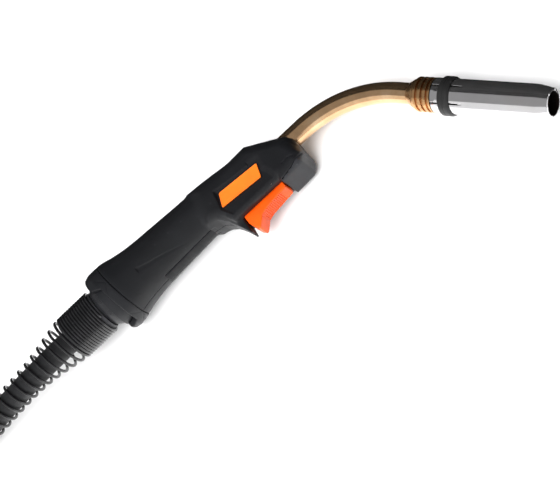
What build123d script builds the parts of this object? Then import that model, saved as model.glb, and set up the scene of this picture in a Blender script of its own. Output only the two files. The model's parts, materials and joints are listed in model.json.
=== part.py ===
from build123d import *
import math
import os

# A gas-cooled MIG welding torch that lies on its side, with its cable and machine connector.
# Handle parts are drawn in the handle frame: X along the grip towards the neck, Y away from the
# trigger, Z out of the left side, with the origin at the middle of the rear collar's seam.
# Nozzle parts are drawn in the nozzle frame: X along the bore and out of the mouth, which is at 0.
# All sizes are in millimetres.

# Swan neck
bend_angle = 50.5
bend_radius = 86.0
bend_corner_x = 201.3
neck_drop = 4.4
corner_to_mouth = 153.5
neck_start_x = 86.0
jacket_radius = 7.1
insulation_radius = 6.1
inner_tube_radius = 4.2
inner_tube_bore = 2.6
liner_radius = 2.2
liner_bore = 0.9

# Gas nozzle and what is inside it
nozzle_length = 84.0
nozzle_radius = 11.7
mouth_radius = 9.9
mouth_bore = 8.1
taper_length = 14.0
seat_radius = 9.25
slide_gap = 0.05
slot_end = 63.5
slot_width = 0.9
slot_count = 6
ring_radius = 13.1
ring_front = 70.0
ring_back = 78.2
fin_radius = 11.6
fin_root_radius = 9.7
fin_groove = 1.7
groove_places = (86.6, 90.4, 94.3)
fins_end = 97.4
cone_end = 104.0
tip_recess = 5.0
tip_length = 30.0
tip_radius = 4.0
wire_hole_radius = 0.65

# Handle
collar_radius = 23.5
seam_tilt = 6.5
grip_radii = (
    (1.5, 23.3),
    (10.0, 20.9),
    (20.0, 19.3),
    (30.0, 18.5),
    (45.0, 17.8),
    (60.0, 17.0),
    (75.0, 16.4),
    (88.0, 15.4),
)
grip_wall = 2.2
head_half_width = 15.4
head_start_x = 76.0
nose_x = 154.5
head_top = 12.0
head_bottom = -28.5
nose_bottom = -30.5
nose_split_x = 129.5
spur_tip = -40.0
spur_half_width = 6.4

# Ball joint at the rear of the handle
ball_x = -6.0
ball_radius = 18.5
ring_inner = 18.7
ring_outer = 20.2
socket_radius = 20.4
ball_back = -12.5
ball_front = 13.0
journal_radius = 8.5
journal_gap = 0.05
ear_cone = 68.0

# Trigger and switch
trigger_pivot = (125.5, -26.2)
trigger_half_width = 6.2
trigger_pin_radius = 1.5
plunger_x = 104.0
plunger_radius = 1.2
switch_top = -12.3
switch_bottom = -19.2
plunger_tip = -21.5
boss_gap = 0.3

# Cable
cable_radius = 8.0
ferrule_radius = 14.6
ferrule_end = -48.0
cable_start = -21.0
close_coil_radius = 16.7
close_coil_start = -20.0
close_coil_end = -46.5
strap_thickness = 1.6
layer_step = 16.3
turn_step = 17.0
coil_mean_radius = 96.0
turns_per_layer = 795.0 / 360.0
coil_entry = 236.0
coil_height = cable_radius * 2 + layer_step + 0.7
floor_height = cable_radius + strap_thickness

# Machine connector
plug_lead = 110.0
plug_rise = 27.5
plug_nut_radius = 26.5

HANDLE = Rot(0, 0, bend_angle)
nozzle_offset = bend_corner_x * math.sin(math.radians(bend_angle)) - neck_drop * math.cos(
    math.radians(bend_angle)
)
corner_along = bend_corner_x * math.cos(math.radians(bend_angle)) + neck_drop * math.sin(
    math.radians(bend_angle)
)
NOZZLE = Pos(corner_along + corner_to_mouth, nozzle_offset, 0)
side_tilt = math.degrees(math.asin((collar_radius - ring_radius) / nozzle_offset))
LAID = Pos(0, 0, collar_radius) * Rot(-side_tilt, 0, 0)


# ---------------------------------------------------------------- helpers
def turned(points, axis=Axis.X):
    """A solid of revolution from (along, radius) points."""
    return revolve(make_face(Polyline(*points, close=True)), axis, 360)


def rod(start, end, radius, bore=0.0):
    """A round bar or tube along X, from start to end."""
    ring = Circle(radius) - Circle(bore) if bore else Circle(radius)
    return extrude(Plane(origin=(start, 0, 0), z_dir=(1, 0, 0)) * ring, end - start)


def cross_rod(x, y, z_low, z_high, radius):
    """A round bar along Z."""
    return Pos(x, y, z_low) * extrude(Circle(radius), z_high - z_low)


def block(x_low, x_high, y_low, y_high, z_low, z_high):
    """A box between two corners."""
    size = (x_high - x_low, y_high - y_low, z_high - z_low)
    middle = ((x_low + x_high) / 2, (y_low + y_high) / 2, (z_low + z_high) / 2)
    return Pos(*middle) * Box(*size)


def ball_form(radius):
    """A sphere about the ball joint's centre, with its poles on the grip's axis."""
    top = ThreePointArc((ball_x - radius, 0), (ball_x, radius), (ball_x + radius, 0))
    return revolve(make_face(top + Line(top @ 1, top @ 0)), Axis.X, 360)


def tube_along(path, radius, bore=0.0):
    """A round bar or tube swept along a wire."""
    ring = Circle(radius) - Circle(bore) if bore else Circle(radius)
    return sweep(Plane(origin=path @ 0, z_dir=path % 0) * ring, path=path)


def gentle_path(points):
    """Straight runs joined by the largest arcs that 0.45 of each shorter run allows."""
    vectors = [Vector(*p) for p in points]
    radii = []
    for a, b, c in zip(vectors, vectors[1:], vectors[2:]):
        shorter = min((b - a).length, (c - b).length)
        turn = math.radians((b - a).get_angle(c - b))
        radii.append(0.45 * shorter / math.tan(turn / 2))
    print("arc radii", [round(r, 1) for r in radii])
    return FilletPolyline(*points, radius=radii)


def half(shape, side):
    """The part of a shape on one side of the handle's middle plane."""
    reach = 400
    return shape & Pos(0, 0, side * reach / 2) * Box(2 * reach, 2 * reach, reach)


def together(solids):
    """Separate solids as one shape."""
    whole = solids[0]
    for solid in solids[1:]:
        whole = whole + solid
    return whole


# ---------------------------------------------------------------- swan neck
def neck_path(back, front):
    """The neck's centre line, from back (a place along the grip) to front (mm behind the mouth)."""
    angle = math.radians(bend_angle)
    reach = corner_to_mouth - front
    end = (bend_corner_x + reach * math.cos(angle), -neck_drop - reach * math.sin(angle), 0)
    return FilletPolyline(
        (back, -neck_drop, 0), (bend_corner_x, -neck_drop, 0), end, radius=bend_radius
    )


def neck_jacket():
    return tube_along(neck_path(neck_start_x, 103.0), jacket_radius, insulation_radius)


def neck_insulation():
    return tube_along(neck_path(neck_start_x + 4, 103.0), insulation_radius, inner_tube_radius)


def neck_inner_tube():
    return tube_along(neck_path(neck_start_x - 4, 66.0), inner_tube_radius, inner_tube_bore)


def wire_liner():
    return tube_along(neck_path(66.0, 38.0), liner_radius, liner_bore)


def neck_union():
    """The hexagonal nut that clamps the inner cable to the neck."""
    nut = extrude(Plane(origin=(70, 0, 0), z_dir=(1, 0, 0)) * RegularPolygon(7.0, 6, False), 14)
    nut = nut + rod(84, 86, 6.6)
    nut = nut - rod(69, 87, inner_tube_radius)
    return Pos(0, -neck_drop, 0) * nut


# ---------------------------------------------------------------- nozzle end
def gas_nozzle():
    outer = [
        (0, mouth_bore),
        (0, mouth_radius - 0.4),
        (-0.5, mouth_radius),
        (-taper_length, nozzle_radius),
        (-nozzle_length, nozzle_radius),
        (-nozzle_length, seat_radius + slide_gap),
        (-slot_end - 1.5, seat_radius + slide_gap),
        (-slot_end - 1.5, mouth_bore),
    ]
    body = turned(outer)
    slot = block(-nozzle_length - 1, -slot_end, 0, 20, -slot_width / 2, slot_width / 2)
    for number in range(slot_count):
        body = body - Rot(number * 360 / slot_count + 15, 0, 0) * slot
    return body


def nozzle_clamp_ring():
    return turned(
        [
            (-ring_back, nozzle_radius),
            (-ring_back, ring_radius - 0.8),
            (-ring_back + 0.8, ring_radius),
            (-ring_front - 1.6, ring_radius),
            (-ring_front, ring_radius - 0.9),
            (-ring_front, nozzle_radius),
        ]
    )


def nozzle_seat():
    """The finned brass seat behind the nozzle, with the journal that the nozzle slides on."""
    body = turned(
        [
            (-slot_end - 2.5, 7.5),
            (-slot_end - 2.5, seat_radius - 0.6),
            (-slot_end - 3.1, seat_radius),
            (-nozzle_length - 0.5, seat_radius),
            (-nozzle_length - 0.5, fin_radius),
            (-fins_end, fin_radius),
            (-cone_end, jacket_radius + 0.1),
            (-cone_end, jacket_radius),
            (-98.0, jacket_radius),
            (-98.0, 7.5),
        ]
    )
    for place in groove_places:
        body = body - rod(-place - fin_groove / 2, -place + fin_groove / 2, 14, fin_root_radius)
    return body


def seat_insulator():
    """The bush that keeps the nozzle seat off the live inner tube."""
    return rod(-97.9, -66.5, 7.5, inner_tube_radius)


def tip_holder():
    """The brass holder on the inner tube's end, which takes the contact tip."""
    holder = turned(
        [(-65.9, inner_tube_bore), (-65.9, 5.6), (-48, 5.6), (-48, 5.2), (-30, 5.2), (-30, 4.0)]
        + [(-38, 4.0), (-38, inner_tube_bore)]
    )
    return holder


def gas_diffuser():
    """The ceramic collar behind the tip, with eight gas holes round it."""
    collar = rod(-60, -48.5, 7.6, 5.65)
    for number in range(8):
        hole = Pos(-54, 0, 0) * extrude(Plane.XY * Circle(0.9), 12)
        collar = collar - Rot(number * 45, 0, 0) * hole
    return collar


def contact_tip():
    back = -tip_recess - tip_length
    return turned(
        [
            (-tip_recess, wire_hole_radius),
            (-tip_recess, 2.6),
            (-tip_recess - 5.5, tip_radius),
            (back, tip_radius),
            (back, wire_hole_radius),
        ]
    )


# ---------------------------------------------------------------- handle shells
def grip_form(inset):
    """The round grip, drawn in by inset."""
    low_x = grip_radii[0][0] - 8
    outline = [(low_x, 23.5 - inset)] + [(x, r - inset) for x, r in grip_radii]
    curve = Spline(*outline)
    sides = Polyline(curve @ 1, (grip_radii[-1][0], 0), (low_x, 0), curve @ 0)
    return revolve(make_face(curve + sides), Axis.X, 360)


def head_form():
    """The boxy head between the grip and the neck, with its sloping nose."""
    outline = Polyline(
        (head_start_x, 14.0),
        (92.0, head_top + 0.6),
        (126.0, head_top),
        (152.0, -4.0),
        (nose_x, -9.0),
        (nose_x, -24.0),
        (149.0, nose_bottom),
        (nose_split_x, nose_bottom - 1.0),
        (nose_split_x, head_bottom),
        (88.4, head_bottom),
        (85.5, -22.0),
        (82.0, -18.0),
        (head_start_x, -14.8),
        close=True,
    )
    body = Pos(0, 0, -head_half_width) * extrude(make_face(outline), 2 * head_half_width)
    long_top = body.edges().filter_by(lambda e: e.center().Y > 3 and abs(e.center().Z) > 15)
    body = fillet(long_top, 8.5)
    low = body.edges().filter_by(
        lambda e: e.center().Y < -20 and e.center().X < 128 and abs(e.center().Z) > 15
    )
    body = fillet(low.filter_by(Axis.X), 6.0)
    front = body.edges().filter_by(Axis.Y).filter_by(lambda e: e.center().X > nose_x - 0.1)
    body = chamfer(front, 2.0)
    return body


def finger_spur():
    """The guard behind the trigger that stops the finger."""
    outline = Polyline(
        (84.5, -20.0), (88.0, -27.0), (90.4, spur_tip), (91.8, spur_tip), (92.6, -27.0),
        (92.6, -20.0), close=True,
    )
    fin = Pos(0, 0, -spur_half_width) * extrude(make_face(outline), 2 * spur_half_width)
    return fin


def seam_cutter(front):
    """A large block in front of (or behind) the tilted seam between collar and shells."""
    reach = 200 if front else -200
    return Rot(0, 0, seam_tilt) * Pos(reach / 2, 0, 0) * Box(200, 120, 120)


def shell_screw_places():
    """Each screw's place along and across the grip."""
    return ((30.0, 12.0), (58.0, 11.0), (142.0, -19.5))


def handle_body():
    """Both shells as one solid, before they are parted at the middle plane."""
    body = grip_form(0) & seam_cutter(True)
    body = body + rod(-4.0, 4.0, 21.9)
    body = body + head_form()
    body = body + finger_spur()
    body = body - ball_form(socket_radius)
    body = body - rod(6.0, 12.0, 14.9)
    body = body - (grip_form(grip_wall) & block(8.5, 88, -40, 40, -40, 40))
    top_room = block(80, 129, -26.1, 9.4, -13.0, 13.0)
    top_room = fillet(top_room.edges().filter_by(Axis.X).filter_by(lambda e: e.center().Y > 0), 7.0)
    body = body - top_room
    body = body - block(92.6, nose_split_x - 0.3, -34, -20, -6.8, 6.8)
    body = body - Pos(0, -neck_drop, 0) * rod(120, 160, jacket_radius)
    for x, y in shell_screw_places()[:2]:
        boss = cross_rod(x, y, -13.5, 13.5, 3.4) & grip_form(0.5)
        body = body + boss
    clamp = block(88, 92, -16, 9.5, -13.1, 13.1) - Pos(0, -neck_drop, 0) * rod(80, 95, jacket_radius)
    clamp = clamp - block(87, 93, -16.1, -11.4, -5, 5)
    body = body + clamp
    for x_low, x_high in ((96.6, 98.6), (119.4, 121.4)):
        rib = block(x_low, x_high, -19.8, -11.9, 2.7, 13.1)
        body = body + rib + mirror(rib, Plane.XY)
    pivot_x, pivot_y = trigger_pivot
    pivot_boss = cross_rod(pivot_x, pivot_y + 0.4, 6.8, 13.1, 3.2)
    body = body + pivot_boss + mirror(pivot_boss, Plane.XY)
    body = body - cross_rod(pivot_x, pivot_y, -12.6, 12.6, trigger_pin_radius)
    for x, y in shell_screw_places():
        body = body - cross_rod(x, y, -30, 8.6, 1.4)
        body = body - cross_rod(x, y, -30, -9.6, 3.0)
    body = body - nose_cover_form()
    return body


def nose_cover_form():
    """The region of the nose that the lower cover fills."""
    outline = Polyline(
        (nose_split_x - 1, -25.5), (140.0, -24.5), (150.0, -21.0), (156.0, -15.0), (156.0, -36.0),
        (nose_split_x - 1, -36.0), close=True,
    )
    return Pos(0, 0, -20) * extrude(make_face(outline), 40)


def nose_cover():
    cover = head_form() & nose_cover_form() & block(nose_split_x, 160, -60, 0, -40, 40)
    cover = cover - block(133, 147, -27.9, -20, -11, 11)
    return cover


def label_plate(side):
    """The slanting plate on the head's flat side."""
    outline = Polyline((92.0, -5.3), (124.3, -8.0), (120.3, -18.8), (87.1, -15.8), close=True)
    face = fillet(make_face(outline).vertices(), 1.2)
    plate = Pos(0, 0, head_half_width) * extrude(face, 0.8)
    return plate if side > 0 else mirror(plate, Plane.XY)


def grip_strip(bottom):
    """A soft strip that is let into the grip."""
    band = grip_form(-0.5) - grip_form(0.9)
    if bottom:
        return band & block(26, 76, -30, -10, -4.4, 4.4)
    return band & block(44, 76, 8, 30, -6.0, 6.0)


def shell_screws():
    """Three screws, put in from the right."""
    screws = []
    for x, y in shell_screw_places():
        head = cross_rod(x, y, -12.4, -9.7, 2.8) - cross_rod(x, y, -13, -11.4, 1.2)
        screws.append(head + cross_rod(x, y, -10, 8.0, 1.35))
    return together(screws)


# ---------------------------------------------------------------- ball joint
def rear_collar():
    """The ring with two ears that holds the ball in the handle."""
    outline = [
        (-16.5, 10.0), (-16.5, 22.6), (-13.5, collar_radius - 0.3), (-3.0, collar_radius),
        (5.0, collar_radius - 0.2), (5.0, 10.0),
    ]
    body = turned(outline) & seam_cutter(False)
    body = body - ball_form(socket_radius)
    body = body - rod(-4.3, 10.0, 22.0)
    depth = math.tan(math.radians(ear_cone))
    cone = turned([(ball_x, 0), (ball_x - 20, 0), (ball_x - 20, 20 * depth)])
    body = body - cone
    for side in (-1, 1):
        scallop = Pos(-22.5, 0, side * 18) * Box(26, 27, 24)
        scallop = fillet(scallop.edges().filter_by(Axis.Z).group_by(Axis.X)[-1], 9.0)
        body = body - scallop
    return body


def ball_seat_ring():
    """The spherical slip ring between ball and socket."""
    ring = ball_form(ring_outer) - ball_form(ring_inner)
    return ring & rod(ball_x + ball_back + 6.0, ball_x + ball_front - 3.0, 30)


def swivel_ball():
    ball = ball_form(ball_radius) & rod(ball_x + ball_back, ball_x + ball_front, 30)
    return ball - rod(-30, 30, journal_radius + journal_gap)


def spring_ferrule():
    """The cable's sleeve, with the journal that the ball turns on."""
    shoulder = ball_x + ball_back - 0.3
    bore = cable_radius + 0.1
    body = turned(
        [
            (ferrule_end, bore), (ferrule_end, ferrule_radius - 1.0),
            (ferrule_end + 1.0, ferrule_radius), (shoulder, ferrule_radius),
            (shoulder, journal_radius), (9.5, journal_radius), (9.5, 6.0), (cable_start, 6.0),
            (cable_start, bore),
        ]
    )
    return body


def retaining_clip():
    """The snap ring that keeps the ball on its journal."""
    clip = rod(7.4, 9.2, 10.5, journal_radius)
    return clip - block(7, 10, 0, 12, -1.2, 1.2)


def inner_cable():
    """The stripped cable between the ball joint and the neck's union."""
    path = FilletPolyline((16, 0, 0), (34, 0, 0), (54, -neck_drop, 0), (69.8, -neck_drop, 0),
                          radius=60)
    return tube_along(path, 5.6, 2.3)


# ---------------------------------------------------------------- trigger and switch
def trigger():
    outline = Polyline(
        (94.2, -23.2), (94.2, -33.5), (96.2, -38.6), (98.6, -41.2), (100.6, -39.8), (105.0, -35.6),
        (110.0, -33.9), (120.0, -32.8), (128.4, -31.9), (128.7, -27.0), (127.4, -23.2), close=True,
    )
    body = Pos(0, 0, -trigger_half_width) * extrude(make_face(outline), 2 * trigger_half_width)
    for number in range(13):
        x = 104.6 + 1.42 * number
        y = -35.6 + (x - 105.0) * 0.34 if x < 110 else -33.9 + (x - 110.0) * 0.11
        body = body - Pos(x, y, 0) * Rot(0, 0, 45) * Box(0.62, 0.62, 11.0)
    body = body - block(107.5, 122.0, -31.0, -22.0, -5.0, 5.0)
    boss = block(plunger_x - 2, plunger_x + 2, -24.0, plunger_tip - boss_gap, -2.2, 2.2)
    body = body + boss
    pivot_x, pivot_y = trigger_pivot
    return body - cross_rod(pivot_x, pivot_y, -10, 10, trigger_pin_radius + 0.05)


def trigger_pin():
    return cross_rod(*trigger_pivot, -12.5, 12.5, trigger_pin_radius)


def microswitch():
    body = block(98.7, 119.3, switch_bottom, switch_top, -3.2, 3.2)
    bore = Pos(plunger_x, switch_bottom - 0.1, 0) * Rot(-90, 0, 0) * extrude(
        Circle(plunger_radius + 0.05), 6.3
    )
    return body - bore


def switch_plunger():
    """The switch's button, which the trigger presses."""
    start = Pos(plunger_x, plunger_tip, 0) * Rot(-90, 0, 0)
    return start * extrude(Circle(plunger_radius), 6.0)


def switch_terminals():
    """Two tinned blades at the switch's rear end."""
    blades = [block(94.4, 98.7, -17.0, -14.2, z - 0.3, z + 0.3) for z in (-2.0, 2.0)]
    return together(blades)


def control_wires():
    """Two thin wires from the switch back to the cable."""
    wires = []
    for z in (-2.0, 2.0):
        path = FilletPolyline(
            (93.4, -15.6, z), (84.0, -12.7, z), (64.0, -12.5, z), (40.0, -9.6, z), (20.0, -8.2, z),
            radius=12,
        )
        wires.append(tube_along(path, 0.8))
    return together(wires)


# ---------------------------------------------------------------- cable
def along_grip(distance, height):
    """A floor-frame point behind the collar, on the line of the grip."""
    angle = math.radians(bend_angle)
    return (-distance * math.cos(angle), -distance * math.sin(angle), height)


def axis_height(distance):
    """The height of the grip's own axis, this far behind the collar."""
    rise = math.sin(math.radians(bend_angle)) * math.sin(math.radians(side_tilt))
    return collar_radius + distance * rise


def lead_points():
    """The cable's route from the ferrule to the coil's first turn."""
    return [
        along_grip(-cable_start, axis_height(-cable_start)),
        along_grip(67, axis_height(67)),
        along_grip(114, 24.8),
        along_grip(158, 18.0),
        along_grip(198, 12.0),
        along_grip(coil_entry, floor_height),
    ]


def coil_centre():
    """The coil's middle on the floor, to the right of the cable as it leaves the handle."""
    angle = math.radians(bend_angle)
    x, y, _ = along_grip(coil_entry, 0)
    outer = coil_mean_radius + turn_step * turns_per_layer / 2
    return (x - outer * math.sin(angle), y + outer * math.cos(angle))


def coil_outer():
    return coil_mean_radius + turn_step * turns_per_layer / 2


def tail_start_angle():
    """Where the cable leaves the coil, in degrees about its middle."""
    return bend_angle - 90.0 - 2 * turns_per_layer * 360.0


def tail_points():
    """The cable's route from the coil's top layer to the connector."""
    x, y = coil_centre()
    angle = math.radians(tail_start_angle())
    out = (math.cos(angle), math.sin(angle))
    on = (math.sin(angle), -math.cos(angle))
    top = floor_height + layer_step
    r = coil_outer()
    steps = ((0.0, 0.0, top), (34.0, 1.5, top + 0.4), (72.0, 4.5, plug_rise), (plug_lead, 5.5, plug_rise))
    return [(x + out[0] * (r + a) + on[0] * d, y + out[1] * (r + a) + on[1] * d, z) for d, a, z in steps]


def cable_lead():
    path = gentle_path(lead_points())
    tube = tube_along(path, cable_radius)
    print("lead: length", round(path.length, 1), "volume ratio",
          round(tube.volume / (path.length * math.pi * cable_radius**2), 4))
    return tube


def cable_tail():
    path = gentle_path(tail_points())
    tube = tube_along(path, cable_radius)
    print("tail: length", round(path.length, 1), "volume ratio",
          round(tube.volume / (path.length * math.pi * cable_radius**2), 4))
    return tube


def cable_coil():
    """The closed outer shape of the wound cable."""
    x, y = coil_centre()
    wide = turn_step * turns_per_layer / 2 + cable_radius
    ring = Circle(coil_mean_radius + wide) - Circle(coil_mean_radius - wide)
    print("coil turns", round(2 * turns_per_layer, 2), "length",
          round(2 * turns_per_layer * 2 * math.pi * coil_mean_radius, 0))
    return Pos(x, y, strap_thickness) * extrude(ring, coil_height)


def coil_straps():
    """Three hook-and-loop straps round the coil."""
    x, y = coil_centre()
    wide = turn_step * turns_per_layer / 2 + cable_radius + 0.8
    high = coil_height + 0.1
    straps = []
    for place in (0.0, 120.0, 240.0):
        band = Box(2 * (wide + strap_thickness), 18, high + 2 * strap_thickness - 0.1)
        band = band - Box(2 * wide, 30, high)
        lift = (high + 2 * strap_thickness - 0.1) / 2
        straps.append(Pos(x, y, 0) * Rot(0, 0, place) * Pos(coil_mean_radius, 0, lift) * band)
    return together(straps)


def anti_kink_spring():
    """The spring's close-wound front end round the ferrule, as its outer shape."""
    return rod(close_coil_end, close_coil_start, close_coil_radius, ferrule_radius)


def spring_tail():
    """The spring's open turns, as a tapering sleeve along the cable."""
    places = ((48.2, 15.6), (62.0, 14.5), (76.0, 12.9), (92.0, 12.2), (168.0, 10.4))
    sections = []
    path = gentle_path(lead_points())
    for distance, radius in places:
        share = (distance + cable_start) / path.length
        plane = Plane(origin=path @ share, z_dir=path % share)
        sections.append((plane, radius))
    outer = loft([plane * Circle(radius) for plane, radius in sections], ruled=True)
    return outer - tube_along(path, cable_radius + 0.1)


# ---------------------------------------------------------------- machine connector
def plug_place():
    """The connector's own frame: X points out of its mating face."""
    last, before = Vector(*tail_points()[-1]), Vector(*tail_points()[-2])
    return Plane(origin=last, x_dir=(last - before).normalized(), z_dir=(0, 0, 1)).location


def plug_spring():
    bore = cable_radius + 0.25
    return turned([(-34, bore), (-34, 9.8), (-6, 12.2), (2, 12.2), (2, bore)])


def plug_housing(side):
    """One half of the connector's plastic housing."""
    outer = [
        (2.2, 8.1), (2.2, 14.0), (8.0, 16.5), (40.0, 19.0), (70.0, 23.0), (84.0, 23.4),
        (84.0, 20.6), (70.0, 20.2), (40.0, 16.6), (10.0, 13.6), (6.0, 8.1),
    ]
    return half(turned(outer), side)


def plug_block():
    """The brass block with the central spigot that carries current, gas and wire."""
    body = rod(60, 90, 12.0) + rod(90, 108, 8.0) + rod(108, 124, 5.0)
    body = body + rod(62, 66, 18.4)
    body = body - rod(50, 130, 1.6)
    return body


def plug_face():
    """The insulating face plate with the sockets for the contact pins."""
    plate = rod(80, 90, 20.4, 12.05)
    for y in (-15.6, 15.6):
        plate = plate - Pos(0, y, 0) * rod(79, 91, 2.05)
    return plate


def plug_pin(side):
    """One sprung contact pin."""
    pin = rod(76, 98, 2.0) + rod(77, 79.6, 3.2)
    return Pos(0, 15.6 * side, 0) * pin


def plug_nut():
    """The ribbed nut that locks the connector to the machine."""
    nut = turned(
        [(84.4, 21.0), (84.4, 25.0), (86.0, plug_nut_radius), (112.0, plug_nut_radius),
         (113.5, 25.2), (113.5, 22.0), (91.0, 22.0), (91.0, 21.0)]
    )
    for number in range(18):
        groove = Rot(number * 20, 0, 0) * Pos(99, plug_nut_radius + 0.7, 0) * rod(-10, 10, 2.0)
        nut = nut - groove
    return nut


def plug_nut_retainer():
    """The snap ring on the face plate that keeps the nut on the connector."""
    return rod(87.0, 89.0, 20.9, 20.4)


# ---------------------------------------------------------------- assembly
def handle_parts():
    body = handle_body()
    parts = {
        "left_shell": half(body, 1),
        "right_shell": half(body, -1),
        "nose_cover": nose_cover(),
        "label_plate_left": label_plate(1),
        "label_plate_right": label_plate(-1),
        "grip_strip_top": grip_strip(False),
        "grip_strip_bottom": grip_strip(True),
        "shell_screws": shell_screws(),
        "rear_collar": rear_collar(),
        "ball_seat_ring": ball_seat_ring(),
        "swivel_ball": swivel_ball(),
        "spring_ferrule": spring_ferrule(),
        "retaining_clip": retaining_clip(),
        "anti_kink_spring": anti_kink_spring(),
        "inner_cable": inner_cable(),
        "neck_union": neck_union(),
        "neck_jacket": neck_jacket(),
        "neck_insulation": neck_insulation(),
        "neck_inner_tube": neck_inner_tube(),
        "wire_liner": wire_liner(),
        "trigger": trigger(),
        "trigger_pin": trigger_pin(),
        "microswitch": microswitch(),
        "switch_plunger": switch_plunger(),
        "switch_terminals": switch_terminals(),
        "control_wires": control_wires(),
    }
    for name in ("left_shell", "right_shell"):
        parts[name] = parts[name] - parts["grip_strip_top"] - parts["grip_strip_bottom"]
    return {name: LAID * HANDLE * shape for name, shape in parts.items()}


def nozzle_parts():
    parts = {
        "gas_nozzle": gas_nozzle(),
        "nozzle_clamp_ring": nozzle_clamp_ring(),
        "nozzle_seat": nozzle_seat(),
        "seat_insulator": seat_insulator(),
        "tip_holder": tip_holder(),
        "gas_diffuser": gas_diffuser(),
        "contact_tip": contact_tip(),
    }
    return {name: LAID * NOZZLE * shape for name, shape in parts.items()}


def cable_parts():
    parts = {
        "cable_lead": cable_lead(),
        "cable_coil": cable_coil(),
        "cable_tail": cable_tail(),
        "coil_straps": coil_straps(),
        "spring_tail": spring_tail(),
    }
    plug = {
        "plug_spring": plug_spring(),
        "plug_housing_upper": plug_housing(1),
        "plug_housing_lower": plug_housing(-1),
        "plug_block": plug_block(),
        "plug_face": plug_face(),
        "plug_pin_1": plug_pin(1),
        "plug_pin_2": plug_pin(-1),
        "plug_nut": plug_nut(),
        "plug_nut_retainer": plug_nut_retainer(),
    }
    place = plug_place()
    parts.update({name: place * shape for name, shape in plug.items()})
    return parts


def origin_shift(torch):
    """The move that puts the torch's lowest point and middle on the origin."""
    boxes = [shape.bounding_box() for shape in torch.values()]
    low = [min(tuple(box.min)[k] for box in boxes) for k in range(3)]
    high = [max(tuple(box.max)[k] for box in boxes) for k in range(3)]
    return Vector(-(low[0] + high[0]) / 2, -(low[1] + high[1]) / 2, -low[2])


def main():
    os.makedirs("parts", exist_ok=True)
    torch = {**handle_parts(), **nozzle_parts()}
    shift = origin_shift(torch)
    print("shift", shift)
    floor_shift = Pos(shift.X, shift.Y, 0)
    for name, shape in torch.items():
        export_step(Pos(shift) * shape, f"parts/{name}.step")
    for name, shape in cable_parts().items():
        export_step(floor_shift * shape, f"parts/{name}.step")


if __name__ == "__main__":
    main()
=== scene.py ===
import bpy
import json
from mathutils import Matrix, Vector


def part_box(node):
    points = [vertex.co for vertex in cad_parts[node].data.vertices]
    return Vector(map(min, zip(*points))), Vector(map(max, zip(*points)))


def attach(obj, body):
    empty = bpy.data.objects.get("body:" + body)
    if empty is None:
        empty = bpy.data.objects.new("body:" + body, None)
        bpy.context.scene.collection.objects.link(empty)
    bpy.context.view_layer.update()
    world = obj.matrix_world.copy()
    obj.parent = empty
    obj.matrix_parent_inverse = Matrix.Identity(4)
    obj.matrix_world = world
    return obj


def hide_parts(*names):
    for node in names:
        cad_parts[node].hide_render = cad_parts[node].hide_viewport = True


bl_info = {
    "name": "Welding torch builder",
    "version": (1, 0, 0),
    "blender": (4, 5, 0),
    "location": "3D View > Sidebar > Torch",
    "description": "Builds a welding torch, its sprung cable and its connector round the packed frame",
    "category": "Add Mesh",
}

import json
import math

import bmesh
import bpy
import numpy as np
from mathutils import Matrix, Vector

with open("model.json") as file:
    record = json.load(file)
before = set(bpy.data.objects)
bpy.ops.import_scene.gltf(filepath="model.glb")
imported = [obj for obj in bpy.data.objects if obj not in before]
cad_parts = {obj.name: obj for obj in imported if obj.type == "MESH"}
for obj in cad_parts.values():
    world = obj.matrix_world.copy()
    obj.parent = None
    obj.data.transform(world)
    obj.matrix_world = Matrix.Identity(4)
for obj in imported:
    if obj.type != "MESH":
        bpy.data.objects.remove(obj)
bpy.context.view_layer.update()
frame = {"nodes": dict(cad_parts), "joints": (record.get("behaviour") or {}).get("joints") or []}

MM = 0.001


# ------------------------------------------------------------------ frames
def joint(name):
    """The record's joint of this name."""
    return next(j for j in frame["joints"] if j["name"] == name)


def axes(along, up, origin):
    """A frame whose X is along, whose Z is up and whose origin is a point of the row frame."""
    x, z = Vector(along).normalized(), Vector(up).normalized()
    y = z.cross(x)
    return Matrix(((x[0], y[0], z[0], origin[0]), (x[1], y[1], z[1], origin[1]),
                   (x[2], y[2], z[2], origin[2]), (0, 0, 0, 1)))


SWIVEL, PITCH, NUT = joint("cable_swivel"), joint("ball_pitch"), joint("plug_nut_turn")
BALL_X = -6.0
HANDLE = axes(SWIVEL["axis"], PITCH["axis"],
              Vector(SWIVEL["pos_m"]) - Vector(SWIVEL["axis"]).normalized() * BALL_X * MM)
barrel_low, barrel_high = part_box("gas_nozzle")
NOZZLE = axes((1, 0, 0), PITCH["axis"],
              (barrel_high.x, (barrel_low.y + barrel_high.y) / 2, (barrel_low.z + barrel_high.z) / 2))
NUT_X = 99.0
PLUG = axes(NUT["axis"], (0, 0, 1), Vector(NUT["pos_m"]) - Vector(NUT["axis"]).normalized() * NUT_X * MM)


# ------------------------------------------------------------------ sizes and colours
def length(label, words, default):
    return bpy.props.FloatProperty(name=label, description=words, default=default, min=0.0,
                                   precision=5, unit="LENGTH")


def colour(label, words, default):
    return bpy.props.FloatVectorProperty(name=label, description=words, default=default, size=3,
                                         min=0.0, max=1.0, subtype="COLOR")


class TorchSizes(bpy.types.PropertyGroup):
    """Sizes that shape the torch."""

    mould_step: length("Moulding detail", "Distance between the points of a moulded skin", 0.00055)
    cable_width: length("Cable diameter", "Outside diameter of the hose cable", 0.016)
    spring_wire: length("Spring wire", "Diameter of the anti-kink spring's wire", 0.0021)
    neck_width: length("Neck diameter", "Outside diameter of the swan neck", 0.0142)
    strap_width: length("Strap width", "Width of the straps round the coil", 0.018)


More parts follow.
